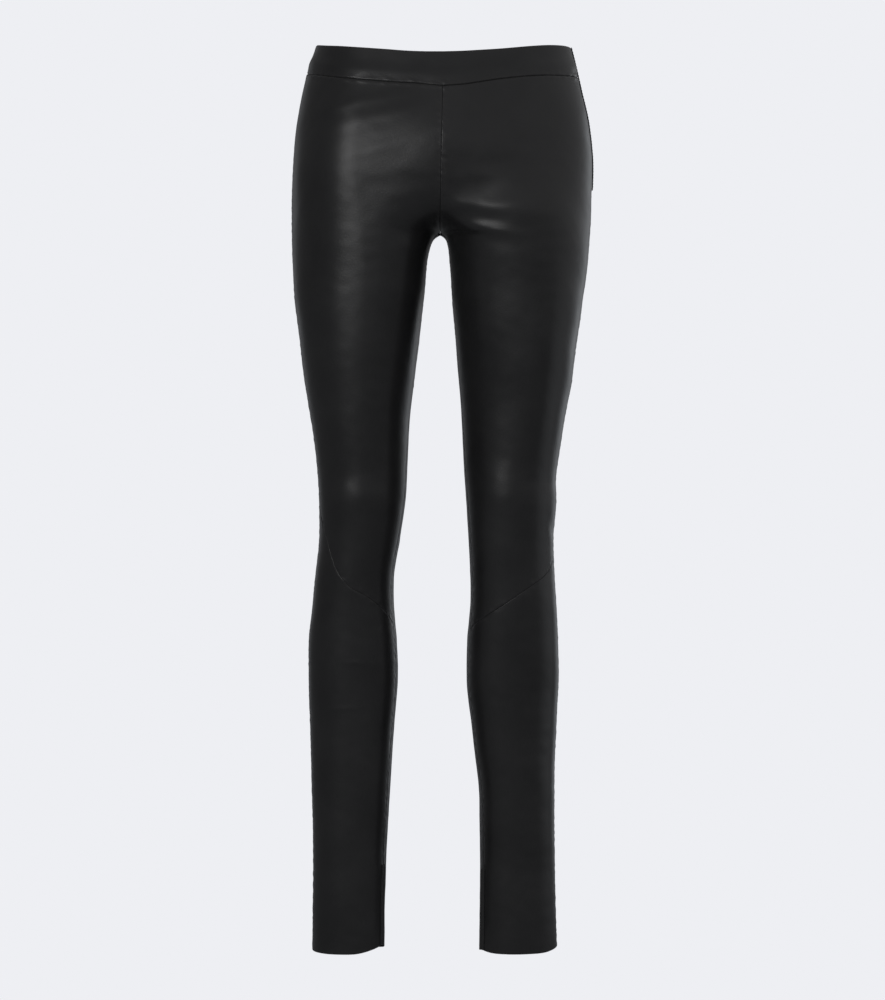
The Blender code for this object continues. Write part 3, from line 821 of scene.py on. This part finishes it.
def leather_material(name, settings):
    """Black nappa: pebbled grain, a soft uneven sheen, paler worn edges, a knit backing."""
    material, nodes, shader = plain_material(name)
    place = nodes.add("ShaderNodeTexCoord").outputs["Object"]
    inside = nodes.add("ShaderNodeAttribute", attribute_name="inside").outputs["Fac"]
    edge = nodes.add("ShaderNodeAttribute", attribute_name="edge").outputs["Fac"]

    warp = nodes.add("ShaderNodeTexNoise", {"Vector": place, "Scale": 900.0, "Detail": 2.0})
    bent = nodes.add(
        "ShaderNodeMix",
        {"Factor": 0.0009, "A": place, "B": warp.outputs["Color"]},
        data_type="VECTOR",
    )
    bent_place = bent.outputs["Result"]
    pebbles = nodes.add(
        "ShaderNodeTexVoronoi",
        {"Vector": bent_place, "Scale": 1.0 / settings.grain_size, "Randomness": 1.0},
        feature="SMOOTH_F1",
    )
    pores = nodes.noise(place, PORE_SCALE / settings.grain_size, Detail=4.0)
    cloud = nodes.noise(place, 16.0, Detail=3.0, Roughness=0.6)
    grain = nodes.add(
        "ShaderNodeBump",
        {
            "Height": nodes.maths("SUBTRACT", pebbles.outputs["Distance"], pores),
            "Strength": settings.grain_strength,
            "Distance": settings.grain_depth,
        },
        invert=True,
    )

    tone = nodes.add("ShaderNodeMapRange", {"Value": cloud, "From Min": 0.3, "From Max": 0.7})
    surface = nodes.blend(tone.outputs["Result"], settings.dark_colour, settings.colour)
    rubbed_share = nodes.maths("MULTIPLY", edge, settings.wear)
    rubbed = nodes.blend(rubbed_share, surface, settings.worn_colour)

    patchy = nodes.add(
        "ShaderNodeMapRange",
        {
            "Value": cloud,
            "From Min": 0.25,
            "From Max": 0.75,
            "To Min": settings.roughness - ROUGHNESS_SPREAD,
            "To Max": settings.roughness + ROUGHNESS_SPREAD,
        },
    )
    rough = nodes.add(
        "ShaderNodeMix",
        {"Factor": inside, "A": patchy.outputs["Result"], "B": KNIT_ROUGHNESS},
        data_type="FLOAT",
    )
    nodes.set(
        shader,
        {
            "Base Color": nodes.blend(inside, rubbed, settings.backing_colour),
            "Roughness": rough.outputs["Result"],
            "Normal": grain.outputs["Normal"],
            "IOR": 1.5,
            "Sheen Weight": settings.sheen,
            "Sheen Roughness": 0.35,
            "Sheen Tint": (0.95, 0.97, 1.0, 1),
        },
    )
    return material


def tape_material(settings):
    """Matt black twill tape, ribbed along its length."""
    material, nodes, shader = plain_material("zip_twill")
    surface = nodes.add("ShaderNodeUVMap", uv_map="surface").outputs["UV"]
    twill = nodes.add(
        "ShaderNodeMapping", {"Vector": surface, "Rotation": (0, 0, radians(40))}
    )
    ribs = nodes.add(
        "ShaderNodeTexWave",
        {"Vector": twill.outputs["Vector"], "Scale": 420.0, "Distortion": 0.6},
        bands_direction="X",
    )
    height = nodes.maths("ADD", ribs.outputs["Fac"], nodes.noise(surface, 1800.0))
    bump = nodes.add("ShaderNodeBump", {"Height": height, "Strength": 0.5, "Distance": 0.00008})
    nodes.set(
        shader,
        {
            "Base Color": nodes.blend(ribs.outputs["Fac"], settings.dark_colour, settings.colour),
            "Normal": bump.outputs["Normal"],
            "Roughness": 0.8,
            "Sheen Weight": 0.1,
        },
    )
    return material


def thread_material(settings):
    """Polyester thread with a twisted look."""
    material, nodes, shader = plain_material("thread")
    place = nodes.add("ShaderNodeTexCoord").outputs["Object"]
    shade = [THREAD_SHADE * value for value in settings.thread_colour]
    colour = nodes.blend(nodes.noise(place, 3200.0), shade, settings.thread_colour)
    nodes.set(shader, {"Base Color": colour, "Roughness": 0.55, "Sheen Weight": 0.15})
    return material


def floor_material(colour):
    """Pale seamless paper: the same tone wherever the camera sees it."""
    material = bpy.data.materials.new("floor_paper")
    material.use_nodes = True
    nodes = Nodes(material.node_tree)
    material.node_tree.nodes.remove(material.node_tree.nodes["Principled BSDF"])
    output = material.node_tree.nodes["Material Output"]
    seen = nodes.add("ShaderNodeLightPath").outputs["Is Camera Ray"]
    place = nodes.add("ShaderNodeTexCoord").outputs["Object"]
    tone = nodes.blend(nodes.noise(place, 40.0), *PAPER_TONES)
    paper = nodes.add("ShaderNodeBsdfDiffuse", {"Color": tone})
    even = nodes.add("ShaderNodeEmission", {"Color": (*colour, 1), "Strength": 1.0})
    mixed = nodes.add(
        "ShaderNodeMixShader",
        {0: seen, 1: paper.outputs["BSDF"], 2: even.outputs["Emission"]},
    )
    nodes.set(output, {"Surface": mixed.outputs["Shader"]})
    return material


# --- settings -------------------------------------------------------------------------

COLOUR = {"subtype": "COLOR", "size": 3, "min": 0, "max": 1}
SHARE = {"subtype": "FACTOR", "min": 0, "max": 1}
LENGTH = {"subtype": "DISTANCE", "unit": "LENGTH"}


class LeatherSettings(bpy.types.PropertyGroup):
    colour: bpy.props.FloatVectorProperty(
        name="Colour", description="Paler tone of the leather",
        default=(0.029, 0.029, 0.03), **COLOUR,
    )
    dark_colour: bpy.props.FloatVectorProperty(
        name="Dark Colour", description="Darker tone of the leather",
        default=(0.0215, 0.0215, 0.0225), **COLOUR,
    )
    worn_colour: bpy.props.FloatVectorProperty(
        name="Worn Colour", description="Tone that edges rub to",
        default=(0.035, 0.034, 0.035), **COLOUR,
    )
    backing_colour: bpy.props.FloatVectorProperty(
        name="Backing Colour", description="Tone of the knit backing",
        default=(0.012, 0.012, 0.013), **COLOUR,
    )
    thread_colour: bpy.props.FloatVectorProperty(
        name="Thread Colour", description="Tone of the stitches",
        default=(0.02, 0.02, 0.022), **COLOUR,
    )
    roughness: bpy.props.FloatProperty(
        name="Roughness", description="Mean roughness of the leather's finish",
        default=0.345, **SHARE,
    )
    sheen: bpy.props.FloatProperty(
        name="Sheen", description="Soft sheen at grazing angles", default=0.05, **SHARE,
    )
    wear: bpy.props.FloatProperty(
        name="Wear", description="How much the edges are rubbed paler", default=0.5, **SHARE,
    )
    grain_size: bpy.props.FloatProperty(
        name="Grain Size", description="Width of one pebble of the grain",
        min=0.0002, max=0.01, default=0.0013, **LENGTH,
    )
    grain_depth: bpy.props.FloatProperty(
        name="Grain Depth", description="Depth of the creases between pebbles",
        min=0, max=0.001, default=0.00012, **LENGTH,
    )
    grain_strength: bpy.props.FloatProperty(
        name="Grain Strength", description="How strongly the grain shows", default=0.35, **SHARE,
    )


class StitchSettings(bpy.types.PropertyGroup):
    length: bpy.props.FloatProperty(
        name="Stitch Length", description="Length of one stitch",
        min=0.0005, max=0.01, default=0.0026, **LENGTH,
    )
    spacing: bpy.props.FloatProperty(
        name="Stitch Spacing", description="Distance from one stitch to the next",
        min=0.0005, max=0.02, default=0.0033, **LENGTH,
    )
    thickness: bpy.props.FloatProperty(
        name="Thread Thickness", description="Thickness of the thread",
        min=0.0001, max=0.003, default=0.0005, **LENGTH,
    )


class StudioSettings(bpy.types.PropertyGroup):
    backdrop: bpy.props.FloatVectorProperty(
        name="Backdrop", description="Tone of the floor and backdrop",
        default=(0.855, 0.863, 0.896), **COLOUR,
    )
    camera_distance: bpy.props.FloatProperty(
        name="Camera Distance", description="From the camera to the middle of the leggings",
        min=1, max=20, default=4.0, **LENGTH,
    )
    picture_height: bpy.props.FloatProperty(
        name="Picture Height", description="Height that the picture shows at that distance",
        min=0.2, max=5, default=1.1, **LENGTH,
    )
    floor_drop: bpy.props.FloatProperty(
        name="Floor Drop", description="From the waist down to the floor",
        min=0.99, max=3, default=1.075, **LENGTH,
    )
    key: bpy.props.FloatProperty(
        name="Key Light", description="Strength of the main soft light", min=0, default=1.0,
    )
    side: bpy.props.FloatProperty(
        name="Side Light", description="Strength of the light at the right", min=0, default=1.0,
    )
    rim: bpy.props.FloatProperty(
        name="Rim Light", description="Strength of the light behind", min=0, default=1.0,
    )
    far_rim: bpy.props.FloatProperty(
        name="Far Rim Light", description="Strength of the light behind at the left",
        min=0, default=1.0,
    )
    room: bpy.props.FloatProperty(
        name="Room", description="Strength of the light from all round", min=0, default=1.0,
    )


def shared_material(name):
    """The named material, made when a piece first asks for it."""
    if name in bpy.data.materials:
        return bpy.data.materials[name]
    settings = bpy.context.scene.leggings_leather
    if name == "zip_twill":
        return tape_material(settings)
    if name == "thread":
        return thread_material(settings)
    return leather_material(name, settings)


# --- panels and bands -----------------------------------------------------------------


def level_on_back(rows, level, side, shares):
    """Drop of an edge of the band at the back: level, but for where it meets the front's."""
    at_side = seam_drop(rows, side, 1.0)
    return level + (at_side - level) * faded(shares, BACK_SEAM_LEVELS)


def build_front_thigh(side):
    shares = shares_across(COLUMNS["thigh"])
    band = seam_drop(BAND_SEAM, side, shares)
    knee = seam_drop(KNEE_SEAM, side, shares)
    levels = levels_down(FRONT_TOP, KNEE_LEVEL)
    drops = rows_between(levels, band, knee, BEND["band"], BEND["knee_above"])
    return panel("front_thigh", side, shares, drops, FRONT_FOLDS, BAND_ROLL, SEAM_ROLL)


def build_front_shin(side):
    shares = shares_across(COLUMNS["shin"])
    knee = seam_drop(KNEE_SEAM, side, shares)
    hem = seam_drop(HEM_LINE, side, shares)
    levels = levels_down(KNEE_LEVEL, HEM)
    drops = rows_between(levels, knee, hem, BEND["knee_below"], BEND["hem"])
    return panel("front_shin", side, shares, drops, SHIN_FOLDS, SEAM_ROLL, HEM_ROLL)


def build_back_leg(side):
    shares = shares_across(COLUMNS["back"])
    band = level_on_back(BAND_SEAM, BAND_SEAM_BACK, side, shares)
    hem = seam_drop(HEM_LINE, side, 1 - shares)
    levels = levels_down(BACK_TOP, HEM)
    drops = rows_between(levels, band, hem, BEND["back_band"], BEND["hem"])
    return panel("back_leg", side, shares, drops, BACK_FOLDS, BAND_ROLL, HEM_ROLL)


def band_grid(face):
    """Smooth form of the front or back of the band, from one side seam over the centre to
    the other, and its normals."""
    shares = shares_across(COLUMNS["band"])
    side_seam, outwards = (1, 1) if face == "front" else (0, -1)
    aside = (shares == side_seam) * outwards * SEAM_LAP / 2
    down = levels_down(0.0, BAND_HEIGHT)[:, None] / BAND_HEIGHT
    halves = []
    for side in (RIGHT, LEFT):
        if face == "front":
            top = seam_drop(BAND_TOP, side, shares)
            seam = seam_drop(BAND_SEAM, side, shares)
        else:
            top = level_on_back(BAND_TOP, BAND_TOP_BACK, side, shares)
            seam = level_on_back(BAND_SEAM, BAND_SEAM_BACK, side, shares)
        drops = top + (seam + SEAM_LAP / 2 - top) * down
        points = leg_points(side, face, shares, drops, gap=0.0, aside=aside)
        halves.append(np.stack([points, grid_normals(side, points)]))
    right, left = halves
    if face == "front":
        return np.concatenate([right[:, :, ::-1], left[:, :, 1:]], 2)
    return np.concatenate([left, right[:, :, -2::-1]], 2)


def build_band(face):
    name = "waistband_" + face
    grid, normals = band_grid(face)
    first, last, top, bottom = distances(grid)
    rise = common_rise(grid) + seam_pucker(grid, np.minimum(np.minimum(first, last), bottom))
    rise = rise + welt_rise(BAND_SWELL, bottom)
    roll = rolled_in(first, SEAM_ROLL) + rolled_in(last, SEAM_ROLL) + rolled_in(bottom, BAND_ROLL)
    round_top = rolled_in(top, TOP_ROLL)
    outer = grid + normals * (rise - roll - round_top)[..., None]
    inner = grid + normals * (rise - BAND_WALL + round_top)[..., None]
    to_edge = np.minimum(np.minimum(first, last), np.minimum(top, bottom))
    edges = wear(to_edge, WEAR_REACH["panel"])
    obj = closed_shell(name + "_nappa", outer, inner, edges, shared_material("band_nappa"))
    put_in_frame(obj, name)
    return obj


# --- zips and stitches ------------------------------------------------------------------

# Each zip runs down one share of a front panel's width. Its stitch rows are distances aside.
ZIP_LINES = table(
    "node side share top bottom size stitch_rows",
    ("side_zip", LEFT, 1.0, 2.2, 158.2, SIDE_ZIP, (-2.7, 2.7)),
    ("ankle_zip_right", RIGHT, 0.0, 897.2, 985.2, ANKLE_ZIP, (-3.6, 3.6)),
    ("ankle_zip_left", LEFT, 0.0, 902.8, 990.8, ANKLE_ZIP, (-3.6, 3.6)),
)
SLIT = {"half_width": 0.45, "depth": 0.55}
ZIP_STEP = 1.6
ZIP_COLUMNS = 33
STITCH_MARGIN = 2.0  # from each end of a zip to its first and last stitch


def zip_surface(line, aside, drops):
    """Smooth form beside a zip's seam and its normals, at distances aside from it."""
    points = leg_points(line.side, "front", line.share, drops[:, None], aside=aside[None, :])
    spread = np.array([-1.0, 0.0, 1.0])
    across = leg_points(line.side, "front", line.share, drops[:, None], aside=spread[None, :])
    normal = grid_normals(line.side, across)[:, 1:2]
    return points, normal


def zip_rise(line, points, drops):
    rise = common_rise(points)
    if line.share == 0.0:
        rise = rise + zip_bulge(0.0, drops[:, None])
    return rise


def build_zip(line):
    """Two leather lips that meet over a concealed zip."""
    size = line.size
    half = size["width"] / 2
    aside = half * np.sin(np.linspace(-1, 1, ZIP_COLUMNS) * np.pi / 2)
    count = int((line.bottom - line.top) / ZIP_STEP)
    drops = np.linspace(line.top, line.bottom, count)
    points, normals = zip_surface(line, aside, drops)
    base = zip_rise(line, points, drops) + SEAM_GAP
    slit = SLIT["depth"] * np.exp(-((aside / SLIT["half_width"]) ** 2))
    lip = size["wall"] - rolled_in(half - np.abs(aside), LIP_ROLL) - slit
    outer = points + normals * (base + lip[None, :])[..., None]
    inner = points + normals * base[..., None]
    worn = wear(half - np.abs(aside), WEAR_REACH["zip"])
    edges = np.broadcast_to(worn, outer.shape[:2])
    outer, inner, edges = facing_out(line.side, outer, inner, edges)
    obj = closed_shell(line.node + "_lips", outer, inner, edges, shared_material("zip_twill"))
    put_in_frame(obj, line.node)
    return obj


def stitch_path(line, aside):
    """Bare line over a zip's lip, with the surface's normal stored on it."""
    drops = np.arange(line.top + STITCH_MARGIN, line.bottom - STITCH_MARGIN, ZIP_STEP)
    points, normals = zip_surface(line, np.array([aside]), drops)
    height = zip_rise(line, points, drops) + SEAM_GAP + line.size["wall"]
    points = (points + normals * height[..., None])[:, 0] * MM
    mesh = bpy.data.meshes.new("stitch_path")
    edges = [(k, k + 1) for k in range(len(points) - 1)]
    mesh.from_pydata(points.tolist(), edges, [])
    up = mesh.attributes.new("stitch_up", "FLOAT_VECTOR", "POINT")
    up.data.foreach_set("vector", normals[:, 0].astype(np.float32).ravel())
    return mesh


def stitch_tree():
    """Geometry Nodes tree that sews a row of stitches along a line."""
    tree = bpy.data.node_groups.new("Row of Stitches", "GeometryNodeTree")
    sockets = tree.interface
    sockets.new_socket("Line", in_out="INPUT", socket_type="NodeSocketGeometry")
    for label in ("Stitch Length", "Spacing", "Thread Thickness"):
        sockets.new_socket(label, in_out="INPUT", socket_type="NodeSocketFloat")
    sockets.new_socket("Thread", in_out="INPUT", socket_type="NodeSocketMaterial")
    sockets.new_socket("Stitches", in_out="OUTPUT", socket_type="NodeSocketGeometry")
    nodes = Nodes(tree)
    given = nodes.add("NodeGroupInput").outputs
    curve = nodes.add("GeometryNodeMeshToCurve", {"Mesh": given["Line"]})
    spaced = nodes.add(
        "GeometryNodeResampleCurve",
        {"Curve": curve.outputs["Curve"], "Length": given["Spacing"]},
        mode="LENGTH",
    )
    bead = nodes.add("GeometryNodeMeshUVSphere", {"Segments": 8, "Rings": 5, "Radius": 0.5})
    tangent = nodes.add("GeometryNodeInputTangent")
    along = nodes.add(
        "FunctionNodeAlignRotationToVector", {"Vector": tangent.outputs["Tangent"]}, axis="X"
    )
    up = nodes.add(
        "GeometryNodeInputNamedAttribute", {"Name": "stitch_up"}, data_type="FLOAT_VECTOR"
    )
    turned = nodes.add(
        "FunctionNodeAlignRotationToVector",
        {"Rotation": along.outputs["Rotation"], "Vector": up.outputs["Attribute"]},
        axis="Z",
        pivot_axis="X",
    )
    size = nodes.add(
        "ShaderNodeCombineXYZ",
        {
            "X": given["Stitch Length"],
            "Y": given["Thread Thickness"],
            "Z": given["Thread Thickness"],
        },
    )
    sewn = nodes.add(
        "GeometryNodeInstanceOnPoints",
        {
            "Points": spaced.outputs["Curve"],
            "Instance": bead.outputs["Mesh"],
            "Rotation": turned.outputs["Rotation"],
            "Scale": size.outputs["Vector"],
        },
    )
    real = nodes.add("GeometryNodeRealizeInstances", {"Geometry": sewn.outputs["Instances"]})
    smooth = nodes.add("GeometryNodeSetShadeSmooth", {"Geometry": real.outputs["Geometry"]})
    coloured = nodes.add(
        "GeometryNodeSetMaterial",
        {"Geometry": smooth.outputs["Geometry"], "Material": given["Thread"]},
    )
    nodes.add("NodeGroupOutput", {"Stitches": coloured.outputs["Geometry"]})
    return tree


def build_stitches(name, meshes, settings):
    """Rows of stitches along line meshes, as one plain mesh."""
    tree = bpy.data.node_groups.get("Row of Stitches") or stitch_tree()
    values = {
        "Stitch Length": settings.length,
        "Spacing": settings.spacing,
        "Thread Thickness": settings.thickness,
        "Thread": shared_material("thread"),
    }
    rows = []
    for mesh in meshes:
        guide = add_object(name + "_guide", mesh)
        modifier = guide.modifiers.new("stitches", "NODES")
        modifier.node_group = tree
        for socket in tree.interface.items_tree:
            if socket.in_out == "INPUT" and socket.name in values:
                modifier[socket.identifier] = values[socket.name]
        rows.append(guide)
    depsgraph = bpy.context.evaluated_depsgraph_get()
    made = [bpy.data.meshes.new_from_object(row.evaluated_get(depsgraph)) for row in rows]
    for row in rows:
        bpy.data.objects.remove(row)
    obj = joined(name, made, values["Thread"])
    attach(obj, "root")
    return obj


def joined(name, meshes, material):
    """One object from several meshes."""
    points, faces, offset = [], [], 0
    for mesh in meshes:
        points.extend(tuple(vertex.co) for vertex in mesh.vertices)
        faces.extend([v + offset for v in face.vertices] for face in mesh.polygons)
        offset += len(mesh.vertices)
    whole = bpy.data.meshes.new(name)
    whole.from_pydata(points, [], faces)
    whole.materials.append(material)
    whole.shade_smooth()
    return add_object(name, whole)


# --- operators --------------------------------------------------------------------------

# Record for the flat size that a panel is cut to, in metres: width, length and area.
Cut = namedtuple("Cut", "width length area")


class LEGGINGS_OT_waistband(bpy.types.Operator):
    """Build the front and the back of the waistband"""

    bl_idname = "leggings.waistband"
    bl_label = "Waistband"

    def execute(self, context):
        for face in ("front", "back"):
            build_band(face)
        return {"FINISHED"}


class LEGGINGS_OT_front_thighs(bpy.types.Operator):
    """Build the upper part of both fronts, from the band to the knee seam"""

    bl_idname = "leggings.front_thighs"
    bl_label = "Front Thighs"

    def execute(self, context):
        for side in (RIGHT, LEFT):
            build_front_thigh(side)
        return {"FINISHED"}


class LEGGINGS_OT_front_shins(bpy.types.Operator):
    """Build the lower part of both fronts, from the knee seam to the hem"""

    bl_idname = "leggings.front_shins"
    bl_label = "Front Shins"

    def execute(self, context):
        for side in (RIGHT, LEFT):
            build_front_shin(side)
        return {"FINISHED"}


class LEGGINGS_OT_back_legs(bpy.types.Operator):
    """Build both backs, from the band to the hem"""

    bl_idname = "leggings.back_legs"
    bl_label = "Back Legs"

    def execute(self, context):
        for side in (RIGHT, LEFT):
            build_back_leg(side)
        return {"FINISHED"}


class LEGGINGS_OT_zips(bpy.types.Operator):
    """Build the lips of the concealed side zip and ankle zips"""

    bl_idname = "leggings.zips"
    bl_label = "Concealed Zips"

    def execute(self, context):
        for line in ZIP_LINES:
            build_zip(line)
        return {"FINISHED"}


class LEGGINGS_OT_stitches(bpy.types.Operator):
    """Sew a row of stitches down each side of every zip"""

    bl_idname = "leggings.stitches"
    bl_label = "Stitches"

    def execute(self, context):
        for line in ZIP_LINES:
            rows = [stitch_path(line, aside) for aside in line.stitch_rows]
            build_stitches(line.node + "_stitches", rows, context.scene.leggings_stitches)
        return {"FINISHED"}


# Round the middle of the leggings, azimuth 0 is towards the camera and positive is to its
# right. Radiance is what a mirror would show of the light.
LIGHTS = table(
    "name azimuth elevation distance width height radiance colour",
    ("key", -31.5, 18.5, 2.43, 1.4, 0.55, 4.1, (1.0, 1.0, 1.0)),
    ("side", 100, -7, 2.2, 1.5, 0.6, 0.29, (0.93, 0.96, 1.0)),
    ("rim", 148, -3, 2.2, 0.7, 1.9, 0.6, (0.9, 0.95, 1.0)),
    ("far_rim", -152, 4, 2.2, 0.6, 1.8, 0.2, (0.9, 0.94, 1.0)),
)
ROOM = {
    "pale_way": (0.9, -0.44, 0.0),
    "darkest": 0.085,
    "palest": 0.365,
    "colour": (0.985, 0.985, 1.0),
}
STUDIO_MIDDLE = Vector((0.0, 0.0, -0.499))
CAMERA_X, CAMERA_Z = 0.0011, -0.4996
FLOOR_REACH = 30.0


def direction(azimuth, elevation):
    """Unit vector from the leggings, by azimuth and elevation in degrees."""
    level = cos(radians(elevation))
    return Vector(
        (sin(radians(azimuth)) * level, -cos(radians(azimuth)) * level, sin(radians(elevation)))
    )


class LEGGINGS_OT_studio(bpy.types.Operator):
    """Set the pale floor, the soft lights and the camera"""

    bl_idname = "leggings.studio"
    bl_label = "Studio"

    def execute(self, context):
        studio = context.scene.leggings_studio
        self.add_floor(studio)
        for light in LIGHTS:
            self.add_light(light, getattr(studio, light.name))
        self.set_world(context, studio)
        self.add_camera(context, studio)
        context.scene.view_settings.view_transform = "Standard"
        return {"FINISHED"}

    def add_floor(self, studio):
        turns = ((-1, -1), (1, -1), (1, 1), (-1, 1))
        corners = [(x * FLOOR_REACH, y * FLOOR_REACH, -studio.floor_drop) for x, y in turns]
        mesh = bpy.data.meshes.new("floor")
        mesh.from_pydata(corners, [], [(0, 1, 2, 3)])
        mesh.materials.append(floor_material(studio.backdrop))
        add_object("floor", mesh)

    def add_light(self, light, strength):
        data = bpy.data.lights.new(light.name, "AREA")
        data.shape = "RECTANGLE"
        data.size, data.size_y = light.width, light.height
        data.energy = light.radiance * strength * np.pi * light.width * light.height
        data.color = light.colour
        obj = add_object(light.name, data)
        towards = direction(light.azimuth, light.elevation)
        obj.location = STUDIO_MIDDLE + towards * light.distance
        obj.rotation_euler = towards.to_track_quat("Z", "Y").to_euler()

    def set_world(self, context, studio):
        """Pale backdrop for the camera, and for the leather a room that is palest to the
        camera's right and a little in front."""
        world = bpy.data.worlds.new("studio")
        context.scene.world = world
        world.use_nodes = True
        nodes = Nodes(world.node_tree)
        shown = world.node_tree.nodes["Background"]
        shown.inputs["Color"].default_value = (*studio.backdrop, 1)
        towards = nodes.add("ShaderNodeTexCoord").outputs["Generated"]
        towards_pale = nodes.add(
            "ShaderNodeVectorMath", {0: towards, 1: ROOM["pale_way"]}, operation="DOT_PRODUCT"
        )
        room = nodes.add(
            "ShaderNodeMapRange",
            {
                "Value": towards_pale.outputs["Value"],
                "From Min": -1.0,
                "From Max": 1.0,
                "To Min": ROOM["darkest"] * studio.room,
                "To Max": ROOM["palest"] * studio.room,
            },
        )
        lit = nodes.add(
            "ShaderNodeBackground",
            {"Color": (*ROOM["colour"], 1), "Strength": room.outputs["Result"]},
        )
        seen = nodes.add("ShaderNodeLightPath").outputs["Is Camera Ray"]
        mixed = nodes.add(
            "ShaderNodeMixShader",
            {0: seen, 1: lit.outputs["Background"], 2: shown.outputs["Background"]},
        )
        output = world.node_tree.nodes["World Output"]
        nodes.set(output, {"Surface": mixed.outputs["Shader"]})

    def add_camera(self, context, studio):
        """Level camera in front. The sensor width is the long side's, here the height's."""
        data = bpy.data.cameras.new("camera")
        data.lens = data.sensor_width * studio.camera_distance / studio.picture_height
        camera = add_object("camera", data)
        camera.location = (CAMERA_X, -studio.camera_distance, CAMERA_Z)
        camera.rotation_euler = (radians(90), 0, 0)
        context.scene.camera = camera


class LEGGINGS_PT_sidebar(bpy.types.Panel):
    """Sizes, colours and steps of the leggings"""

    bl_idname = "LEGGINGS_PT_sidebar"
    bl_label = "Leather Leggings"
    bl_space_type = "VIEW_3D"
    bl_region_type = "UI"
    bl_category = "Leggings"

    def draw(self, context):
        for label, group in (
            ("Leather", context.scene.leggings_leather),
            ("Stitches", context.scene.leggings_stitches),
            ("Studio", context.scene.leggings_studio),
        ):
            box = self.layout.box()
            box.label(text=label)
            for key in group.__annotations__:
                box.prop(group, key)
        for operator in OPERATORS:
            self.layout.operator(operator.bl_idname)


GROUPS = {
    "leggings_leather": LeatherSettings,
    "leggings_stitches": StitchSettings,
    "leggings_studio": StudioSettings,
}
OPERATORS = (
    LEGGINGS_OT_waistband,
    LEGGINGS_OT_front_thighs,
    LEGGINGS_OT_front_shins,
    LEGGINGS_OT_back_legs,
    LEGGINGS_OT_zips,
    LEGGINGS_OT_stitches,
    LEGGINGS_OT_studio,
)


def register():
    for name, group in GROUPS.items():
        bpy.utils.register_class(group)
        setattr(bpy.types.Scene, name, bpy.props.PointerProperty(type=group))
    for operator in OPERATORS:
        bpy.utils.register_class(operator)
    bpy.utils.register_class(LEGGINGS_PT_sidebar)


def unregister():
    bpy.utils.unregister_class(LEGGINGS_PT_sidebar)
    for operator in reversed(OPERATORS):
        bpy.utils.unregister_class(operator)
    for name, group in reversed(GROUPS.items()):
        delattr(bpy.types.Scene, name)
        bpy.utils.unregister_class(group)


def clear_defaults():
    for name in ("Cube", "Light", "Camera"):
        if name in bpy.data.objects:
            bpy.data.objects.remove(bpy.data.objects[name], do_unlink=True)


def main():
    clear_defaults()
    register()
    bpy.ops.leggings.waistband()
    bpy.ops.leggings.front_thighs()
    bpy.ops.leggings.front_shins()
    bpy.ops.leggings.back_legs()
    bpy.ops.leggings.zips()
    bpy.ops.leggings.stitches()
    bpy.ops.leggings.studio()


if __name__ == "__main__":
    main()
